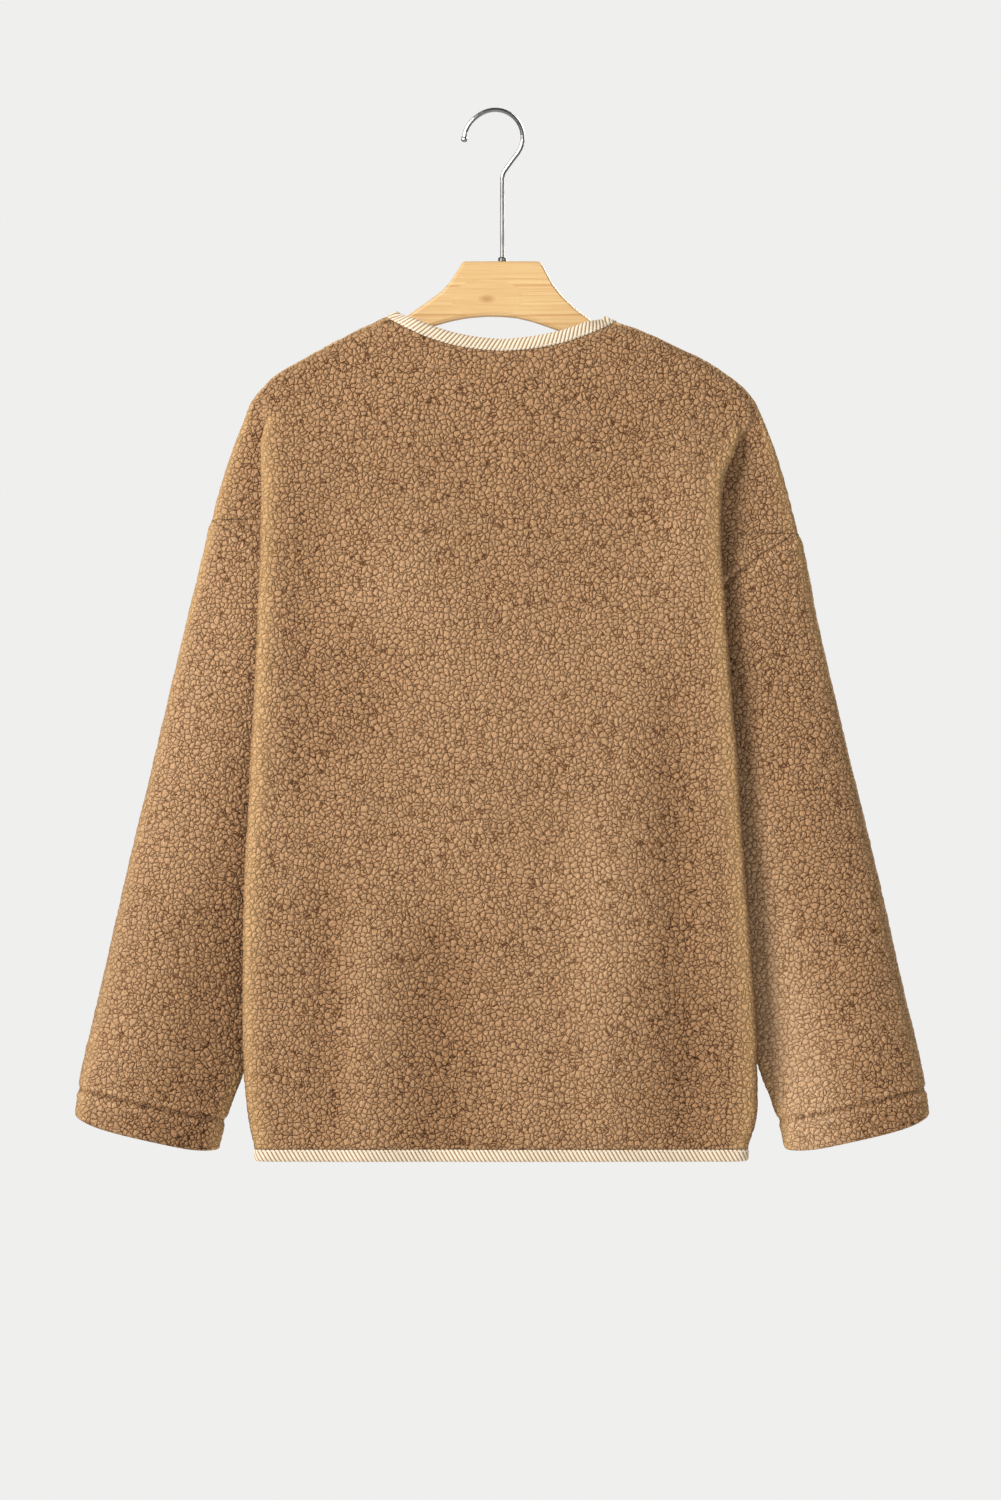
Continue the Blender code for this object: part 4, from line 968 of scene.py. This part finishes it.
def stitches(name, centres, along, normals, paint, length=STITCH_LENGTH):
    """A row of short thread stitches, each a small bar with rounded ends."""
    sides = 5
    steps = (-0.5, -0.36, 0.0, 0.36, 0.5)
    girth = (0.35, 0.9, 1.0, 0.9, 0.35)
    sink = (-0.5, 0.0, 0.25, 0.0, -0.5)
    points, faces = [], []
    across = unit(np.cross(along, normals))
    for centre, ahead, up, beside in zip(centres, along, normals, across):
        first = len(points)
        for step, size, low in zip(steps, girth, sink):
            for k in range(sides):
                angle = 2 * math.pi * k / sides
                points.append(
                    centre + step * length * ahead
                    + size * STITCH_RADIUS * math.cos(angle) * beside
                    + (size * math.sin(angle) + low) * STITCH_RADIUS * up
                )
        faces += quads(first, len(steps), sides, closed=True)
        faces.append(tuple(first + k for k in range(sides)))
        faces.append(tuple(first + (len(steps) - 1) * sides + k for k in range(sides)))
    return cloth_object(name, points, faces, paint)


def stitch_places(points, normals, pitch):
    """Centres, directions and normals of stitches at an even pitch along a line."""
    length = run_length(points)
    at = np.arange(0.5 * pitch, length[-1] - 0.5 * pitch, pitch)
    centres = np.stack([np.interp(at, length, points[:, i]) for i in range(3)], axis=1)
    up = unit(np.stack([np.interp(at, length, normals[:, i]) for i in range(3)], axis=1))
    along = unit(np.gradient(centres, axis=0))
    return centres, along, up


def button_thread(name, centre, across, up, out):
    """The threads that hold a button: two arches between its holes, each spun from a circle."""
    parts = []
    for row in (-0.5, 0.5):
        bpy.ops.object.select_all(action="DESELECT")
        bpy.ops.mesh.primitive_circle_add(
            vertices=8, radius=THREAD_RADIUS * MM, fill_type="NGON",
            location=(0.5 * HOLE_PITCH * MM, 0.0, 0.0),
        )
        arch = bpy.context.object
        bpy.ops.object.transform_apply(location=True, rotation=False, scale=False)
        bpy.ops.object.mode_set(mode="EDIT")
        bpy.ops.mesh.select_all(action="SELECT")
        bpy.ops.mesh.spin(steps=10, angle=math.pi, center=(0.0, 0.0, 0.0), axis=(0.0, 1.0, 0.0))
        bpy.ops.mesh.select_all(action="SELECT")
        bpy.ops.mesh.normals_make_consistent(inside=False)
        bpy.ops.object.mode_set(mode="OBJECT")
        height = [corner.co.z for corner in arch.data.vertices]
        turned = 1.0 if max(height) > -min(height) else -1.0
        for corner in arch.data.vertices:
            x, z = corner.co.x, corner.co.y
            lift = turned * corner.co.z * ARCH_FLATNESS
            place = centre + x * across + (z + row * HOLE_PITCH * MM) * up + lift * out
            corner.co = place.tolist()
        parts.append(arch)
    bpy.ops.object.select_all(action="DESELECT")
    for arch in parts:
        arch.select_set(True)
    bpy.context.view_layer.objects.active = parts[0]
    bpy.ops.object.join()
    made = bpy.context.object
    bpy.ops.object.mode_set(mode="EDIT")
    bpy.ops.mesh.select_all(action="SELECT")
    bpy.ops.mesh.normals_make_consistent(inside=False)
    bpy.ops.object.mode_set(mode="OBJECT")
    bpy.ops.object.shade_smooth()
    made.name = made.data.name = name
    return made


# Finishes


class Finish:
    """A material under construction: its nodes and links by short names."""

    def __init__(self, name):
        self.material = bpy.data.materials.new(name)
        self.material.use_nodes = True
        self.tree = self.material.node_tree
        self.shader = self.tree.nodes["Principled BSDF"]
        self.place = self.node("TexCoord").outputs["Object"]

    def feed(self, socket, value):
        """Links the socket where the value is an output, and sets it where it is a plain one."""
        if isinstance(value, bpy.types.NodeSocket):
            self.tree.links.new(value, socket)
        else:
            socket.default_value = value

    def node(self, kind, inputs=(), **settings):
        made = self.tree.nodes.new("ShaderNode" + kind)
        for key, value in settings.items():
            setattr(made, key, value)
        for key, value in dict(inputs).items():
            self.feed(made.inputs[key], value)
        return made

    def noise(self, scale, detail=2.0, at=None, **more):
        inputs = {"Vector": at or self.place, "Scale": scale, "Detail": detail, **more}
        return self.node("TexNoise", inputs).outputs[0]

    def edges(self, at, scale, randomness):
        """Distance to the edges between cells."""
        inputs = {"Vector": at, "Scale": scale, "Randomness": randomness}
        return self.node("TexVoronoi", inputs, feature="DISTANCE_TO_EDGE").outputs["Distance"]

    def stretched(self, at, scales):
        return self.node("VectorMath", {0: at, 1: scales}, operation="MULTIPLY").outputs[0]

    def field(self, name):
        return self.node("Attribute", attribute_name=name).outputs["Fac"]

    def math(self, operation, *values):
        return self.node("Math", dict(enumerate(values)), operation=operation).outputs[0]

    def ramp(self, factor, stops):
        made = self.node("ValToRGB", {0: factor})
        elements = made.color_ramp.elements
        while len(elements) < len(stops):
            elements.new(0.5)
        for element, (place, colour) in zip(elements, stops):
            element.position = place
            element.color = (*colour, 1.0)
        return made.outputs[0]

    def span(self, value, low, high, to_low=0.0, to_high=1.0):
        made = self.node(
            "MapRange", {0: value, 1: low, 2: high, 3: to_low, 4: to_high}, clamp=True
        )
        return made.outputs[0]

    def blend(self, factor, first, second, kind="MIX"):
        made = self.node("Mix", data_type="RGBA", blend_type=kind)
        self.feed(made.inputs[0], factor)
        for key, value in ((6, first), (7, second)):
            self.feed(made.inputs[key], (*value, 1.0) if isinstance(value, tuple) else value)
        return made.outputs[2]

    def to(self, **sockets):
        for key, value in sockets.items():
            self.feed(self.shader.inputs[key.replace("_", " ")], value)

    def bump(self, height, strength, distance, under=None):
        inputs = {"Height": height, "Strength": strength, "Distance": distance}
        if under is not None:
            inputs["Normal"] = under
        return self.node("Bump", inputs).outputs[0]


def fleece_finish():
    """Curled tan pile with painted shade in the thin creases between its clumps and curls, painted
    shade and light from the mesh's fields, and a painted golden highlight on sharp edges.
    """
    f = Finish("sherpa_fleece")
    stir = f.node("TexNoise", {"Vector": f.place, "Scale": 170.0, "Detail": 2.0}).outputs["Color"]
    stirred = f.node(
        "VectorMath", {0: stir, 1: (0.0048, 0.0048, 0.0048), 2: f.place}, operation="MULTIPLY_ADD"
    ).outputs[0]
    clumps, curls = f.edges(stirred, 240.0, 0.95), f.edges(stirred, 520.0, 1.0)
    fibre, patch, broad = f.noise(1300.0, Roughness=0.7), f.noise(150.0), f.noise(7.0)
    # Painted shade: the creases between the clumps and between the curls are darkened where shade
    # falls between them
    crease_shade_width = f.span(patch, 0.35, 0.65, 0.07, 0.13)
    crease_shade_mask = f.span(clumps, 0.0, crease_shade_width)
    curl = f.span(curls, 0.0, 0.22)
    dome = f.math("POWER", f.span(clumps, 0.0, 0.42), 0.6)
    depth, highlight, shading_amount = f.field("curl"), f.field("bend"), f.field("painted_shading")
    height = f.math("MULTIPLY_ADD", dome, 0.70, f.math("MULTIPLY", curl, 0.12))
    height = f.math("MULTIPLY_ADD", fibre, 0.18, height)
    shown = f.math("MULTIPLY_ADD", curl, 0.12, f.math("MULTIPLY", crease_shade_mask, 0.56))
    shown = f.math("MULTIPLY_ADD", fibre, 0.22, shown)
    # Painted shade between the mesh's curls, by how deep each point lies
    shown = f.math("MULTIPLY_ADD", depth, 0.06, shown)
    # Painted shade and light over folds, seams, sleeves and heights
    shown = f.math("MULTIPLY_ADD", shading_amount, 0.10, shown)
    # Painted highlight on sharp edges, lifting the tone there
    shown = f.math("MULTIPLY_ADD", highlight, f.math("MULTIPLY_ADD", shown, -0.40, 0.42), shown)
    colour = f.ramp(
        shown,
        (
            (0.12, (0.038, 0.015, 0.006)),
            (0.34, (0.180, 0.082, 0.036)),
            (0.66, (0.425, 0.233, 0.113)),
            (0.98, (0.655, 0.410, 0.228)),
        ),
    )
    tint = f.ramp(broad, ((0.35, (0.96, 0.95, 0.94)), (0.65, (1.04, 1.04, 1.04))))
    colour = f.blend(1.0, colour, tint, "MULTIPLY")
    f.to(
        # Painted golden highlight blended in on sharp edges
        Base_Color=f.blend(f.math("MULTIPLY", highlight, 0.42), colour, (0.72, 0.44, 0.17)),
        Roughness=f.span(fibre, 0.2, 0.8, 0.86, 1.0),
        Sheen_Weight=0.34,
        Sheen_Roughness=0.4,
        Sheen_Tint=(1.0, 0.68, 0.36, 1.0),
        Specular_IOR_Level=0.08,
        Normal=f.bump(height, 1.0, 0.0028),
    )
    return f.material


def twill_finish():
    """Cream cotton tape whose slanting ribs have tan gaps."""
    f = Finish("twill_binding")
    uv = f.node("UVMap", uv_map="tape").outputs[0]
    parts = f.node("SeparateXYZ", {0: uv})
    slanted = f.math("MULTIPLY_ADD", parts.outputs[1], RIB_SLANT, parts.outputs[0])
    turn = f.math("MULTIPLY", slanted, math.pi / (RIB_PITCH * MM))
    rib = f.span(f.math("ABSOLUTE", f.math("COSINE", turn)), 0.15, 0.85)
    yarn, cloud = f.noise(1100.0), f.noise(60.0)
    shown = f.math("MULTIPLY_ADD", yarn, 0.22, f.math("MULTIPLY", rib, 0.85))
    colour = f.ramp(
        shown,
        (
            (0.14, (0.30, 0.18, 0.09)),
            (0.42, (0.46, 0.32, 0.19)),
            (0.66, (0.68, 0.55, 0.38)),
            (0.98, (0.80, 0.70, 0.55)),
        ),
    )
    tint = f.ramp(cloud, ((0.3, (0.95, 0.93, 0.90)), (0.7, (1.0, 1.0, 1.0))))
    height = f.math("MULTIPLY_ADD", yarn, 0.3, rib)
    f.to(
        Base_Color=f.blend(1.0, colour, tint, "MULTIPLY"),
        Roughness=f.span(yarn, 0.2, 0.8, 0.78, 0.95),
        Sheen_Weight=0.1,
        Specular_IOR_Level=0.2,
        Normal=f.bump(height, 0.5, 0.0003),
    )
    return f.material


def thread_finish(name, light, dark):
    """Twisted sewing thread."""
    f = Finish(name)
    twist = f.node(
        "TexWave", {"Vector": f.place, "Scale": 900.0, "Distortion": 2.0},
        bands_direction="DIAGONAL",
    ).outputs[1]
    f.to(
        Base_Color=f.ramp(twist, ((0.1, dark), (0.8, light))),
        Roughness=f.span(twist, 0.0, 1.0, 0.7, 0.85),
        Normal=f.bump(twist, 0.4, 0.0002),
    )
    return f.material


KNOT = (-0.0066, 0.0, -0.1504)


def wood_finish():
    """Pale softwood with fine grain along the hanger and one small knot."""
    f = Finish("pale_wood")
    wander = f.noise(1.0, at=f.stretched(f.place, (6.0, 14.0, 22.0)))
    from_knot = f.node("VectorMath", {0: f.place, 1: KNOT}, operation="SUBTRACT").outputs[0]
    squeezed = f.stretched(from_knot, (0.55, 0.0, 1.0))
    reach = f.node("VectorMath", {0: squeezed}, operation="LENGTH").outputs["Value"]
    near = f.span(reach, 0.0015, 0.016, 1.0, 0.0)
    level = f.node("SeparateXYZ", {0: f.place}).outputs[2]
    grain_at = f.node("Mix", {0: near, 2: level, 3: reach}, data_type="FLOAT").outputs[0]
    grain_at = f.math("MULTIPLY_ADD", wander, 0.006, grain_at)
    ring = f.node(
        "TexNoise", {"W": f.math("MULTIPLY", grain_at, 420.0), "Scale": 1.0, "Detail": 3.0},
        noise_dimensions="1D",
    ).outputs[0]
    streak = f.noise(1.0, 4.0, f.stretched(f.place, (22.0, 300.0, 900.0)))
    shown = f.math("MULTIPLY_ADD", ring, 0.6, f.math("MULTIPLY", streak, 0.4))
    colour = f.ramp(
        shown,
        (
            (0.30, (0.52, 0.28, 0.10)),
            (0.45, (0.64, 0.40, 0.17)),
            (0.60, (0.70, 0.47, 0.22)),
            (0.78, (0.76, 0.54, 0.28)),
        ),
    )
    core = f.span(reach, 0.0008, 0.0042, 0.75, 0.0)
    f.to(
        Base_Color=f.blend(core, colour, (0.42, 0.20, 0.07)),
        Roughness=f.span(streak, 0.2, 0.8, 0.38, 0.55),
        Specular_IOR_Level=0.35,
        Normal=f.bump(shown, 0.12, 0.0004),
    )
    return f.material


def steel_finish():
    """Brushed steel wire."""
    f = Finish("hook_steel")
    brushed = f.noise(1.0, 3.0, f.stretched(f.place, (900.0, 900.0, 120.0)))
    worn = f.noise(60.0)
    f.to(
        Base_Color=f.ramp(worn, ((0.3, (0.15, 0.142, 0.134)), (0.7, (0.27, 0.26, 0.245)))),
        Metallic=1.0,
        Roughness=f.span(brushed, 0.2, 0.8, 0.22, 0.38),
        Normal=f.bump(brushed, 0.08, 0.0002),
    )
    return f.material


def horn_finish():
    """Polished brown horn with cloudy bands."""
    f = Finish("button_horn")
    cloud = f.noise(130.0, 4.0, Distortion=1.2)
    bands = ((0.32, (0.06, 0.03, 0.015)), (0.52, (0.20, 0.10, 0.05)), (0.72, (0.42, 0.25, 0.13)))
    f.to(
        Base_Color=f.ramp(cloud, bands),
        Roughness=f.span(cloud, 0.3, 0.7, 0.26, 0.4),
        Normal=f.bump(cloud, 0.05, 0.0004),
    )
    return f.material


def floor_finish():
    """Plain pale floor with a faint grain."""
    f = Finish("studio_floor")
    f.to(
        Base_Color=f.ramp(f.noise(3.0), ((0.3, (0.788, 0.788, 0.788)), (0.7, (0.80, 0.80, 0.80)))),
        Roughness=0.9,
        Specular_IOR_Level=0.1,
        Emission_Color=(1.0, 1.0, 0.99, 1.0),
        Emission_Strength=FLOOR_GLOW,
    )
    return f.material


def repaint(node, paint):
    """A CAD node keeps its shape and gets its finish."""
    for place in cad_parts[node].material_slots:
        place.material = paint


# The jacket

fleece = fleece_finish()
twill = twill_finish()
pale_thread = thread_finish("tape_thread", (0.90, 0.83, 0.72), (0.66, 0.54, 0.40))
tan_thread = thread_finish("hem_thread", (0.34, 0.21, 0.12), (0.16, 0.09, 0.05))
wood = wood_finish()
steel = steel_finish()
horn = horn_finish()

grids, armhole_row = panel_grids()
normals = {
    name: outside(grid, False, 0, grid.shape[1] // 2 if name == "back" else 6)
    for name, grid in grids.items()
}
sleeves = {name: sleeve_grid(SIDE_OF[name]) for name in SLEEVES}
sleeve_normals = {
    name: outside(grid, True, 60, grid.shape[1] // 4) for name, grid in sleeves.items()
}
seam_rows = slice(armhole_row, armhole_row + SEAM_SAMPLES + 1)
mirror = np.array([1.0, -1.0, 1.0])
for name, side in SIDE_OF.items():
    column = 0 if side < 0 else -1
    shared = unit(normals["back"][:, column] + normals[name][:, -1] * mirror)
    top = sleeve_normals[name][0, : SEAM_SAMPLES + 1][::-1]
    shared[seam_rows] = unit(shared[seam_rows] + top)
    on_middle = np.ones(len(shared), bool)
    on_middle[seam_rows.start + 1 : seam_rows.stop - 1] = False
    shared[on_middle, 1] = 0.0
    shared = unit(shared)
    normals["back"][:, column] = shared
    normals[name][:, -1] = shared * mirror
    sleeve_normals[name][0] = np.concatenate(
        [shared[seam_rows][::-1], (shared[seam_rows] * mirror)[1:-1]]
    )
panels, bound = make_panels(grids, normals, fleece)

tapes = {}
threads = []
for kind in ("hem", "neck"):
    lines = [bound["left"][kind], bound["back"][kind], bound["right"][kind]]
    lines[1] = tuple(v[1:] for v in lines[1])
    lines[2] = tuple(v[-2::-1] for v in lines[2])
    path, ups, outs = (np.concatenate([line[i] for line in lines]) for i in range(3))
    first = path[:1] + TAPE_HEIGHT * unit(path[:1] - path[1:2])
    last = path[-1:] + TAPE_HEIGHT * unit(path[-1:] - path[-2:-1])
    path = np.concatenate([first, path, last])
    ups, outs = (np.concatenate([v[:1], v, v[-1:]]) for v in (ups, outs))
    tapes[kind + "_binding"] = tape(kind + "_tape", path, ups, outs, twill)
for name in SLEEVES:
    tapes["edge_binding_" + name] = tape("edge_tape_" + name, *bound[name]["front"], twill)

for node, (piece, (path, ups, outs)) in tapes.items():
    row = path - 0.5 * WALL * ups + TAPE_STITCH_OUT * outs + TAPE_STITCH_UP * ups
    centres, along, up = stitch_places(row, ups, STITCH_PITCH)
    threads.append((stitches(piece.name + "_stitches", centres, along, up, pale_thread), node))

sleeve_pieces = {}
for name in SLEEVES:
    grid, facing = sleeves[name], sleeve_normals[name]
    sleeve_pieces[name] = make_sleeve(name, grid, facing, fleece)
    at_hem = round(HEM_DEPTH_SHARE * (len(grid) - 1))
    loop, up = (np.concatenate([v[at_hem], v[at_hem, :1]]) for v in (grid, facing))
    centres, along, ups = stitch_places(loop - CUFF_STITCH_DEPTH * up, up, CUFF_STITCH_PITCH)
    made = stitches(
        "cuff_stitches_" + name, centres, along, ups, tan_thread, CUFF_STITCH_LENGTH
    )
    threads.append((made, "sleeve_" + name))

repaint("hanger_body", wood)
repaint("hanger_hook", steel)
repaint("hook_collar", steel)
for number in range(1, BUTTONS + 1):
    node = "button_" + str(number)
    repaint(node, horn)
    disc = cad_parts[node]
    corners = np.array([disc.matrix_world @ corner.co for corner in disc.data.vertices])
    centre = corners.mean(axis=0)
    _, _, axes = np.linalg.svd(corners - centre)
    out = axes[2] * np.sign(axes[2][1])
    across = unit(np.cross(out, (0.0, 0.0, 1.0)))
    up = np.cross(across, out)
    face = ((corners - centre) @ out).max() + THREAD_SEAT * MM
    piece = button_thread(node + "_thread", centre + face * out, across, up, out)
    piece.data.materials.clear()
    piece.data.materials.append(tan_thread)
    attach(piece, "root")

for node, (piece, _) in tapes.items():
    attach(piece, "root")
    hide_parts(node)
for piece, node in threads:
    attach(piece, "root")
for node, piece in list(panels.items()) + [("sleeve_" + n, sleeve_pieces[n]) for n in SLEEVES]:
    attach(piece, "root")
    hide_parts(node)

# The room, the lights and the camera


floor_mesh = bpy.data.meshes.new("studio_floor")
floor_corners = [
    (x * FLOOR_HALF, y * FLOOR_HALF, FLOOR_Z) for x, y in ((-1, -1), (1, -1), (1, 1), (-1, 1))
]
floor_mesh.from_pydata(floor_corners, [], [(0, 1, 2, 3)])
floor_mesh.materials.append(floor_finish())
floor = bpy.data.objects.new("studio_floor", floor_mesh)
bpy.context.scene.collection.objects.link(floor)


LIGHT_COLUMNS = ("name", "at", "size", "power")
LIGHTS = (
    ("key_light", (-2.7, -2.7, 1.4), 1.9, 226.0),
    ("fill_light", (1.6, -3.4, 0.2), 2.4, 24.0),
    ("front_light", (1.9, 3.3, 1.0), 2.4, 190.0),
)
LIT_POINT = (0.0, 0.0, -0.5)

for row in LIGHTS:
    light = dict(zip(LIGHT_COLUMNS, row))
    lamp = bpy.data.lights.new(light["name"], "AREA")
    lamp.shape = "DISK"
    lamp.size = light["size"]
    lamp.energy = light["power"]
    way = np.array(LIT_POINT) - np.array(light["at"])
    across = math.hypot(way[0], way[1])
    placed = bpy.data.objects.new(light["name"], lamp)
    placed.location = light["at"]
    placed.rotation_euler = (math.atan2(across, -way[2]), 0.0, math.atan2(-way[0], way[1]))
    bpy.context.scene.collection.objects.link(placed)

world = bpy.data.worlds.new("studio")
world.use_nodes = True
sky = world.node_tree
room_light = sky.nodes["Background"]
room_light.inputs[0].default_value = (1.0, 1.0, 1.0, 1.0)
room_light.inputs[1].default_value = ROOM_GLOW
backdrop = sky.nodes.new("ShaderNodeBackground")
backdrop.inputs[0].default_value = (1.0, 0.997, 0.992, 1.0)
backdrop.inputs[1].default_value = BACKDROP
seen = sky.nodes.new("ShaderNodeLightPath")
either = sky.nodes.new("ShaderNodeMixShader")
sky.links.new(seen.outputs["Is Camera Ray"], either.inputs[0])
sky.links.new(room_light.outputs[0], either.inputs[1])
sky.links.new(backdrop.outputs[0], either.inputs[2])
sky.links.new(either.outputs[0], sky.nodes["World Output"].inputs[0])
bpy.context.scene.world = world
bpy.context.scene.view_settings.view_transform = "Standard"

camera_data = bpy.data.cameras.new("camera")
camera_data.sensor_fit = "VERTICAL"
camera_data.sensor_height = SENSOR
camera_data.lens = SENSOR * (CAMERA_AWAY - SHARP_AT) / FRAME_HEIGHT
camera = bpy.data.objects.new("camera", camera_data)
camera.location = (AIM[0], -CAMERA_AWAY, AIM[2])
camera.rotation_euler = (math.radians(90.0), 0.0, 0.0)
bpy.context.scene.collection.objects.link(camera)
bpy.context.scene.camera = camera
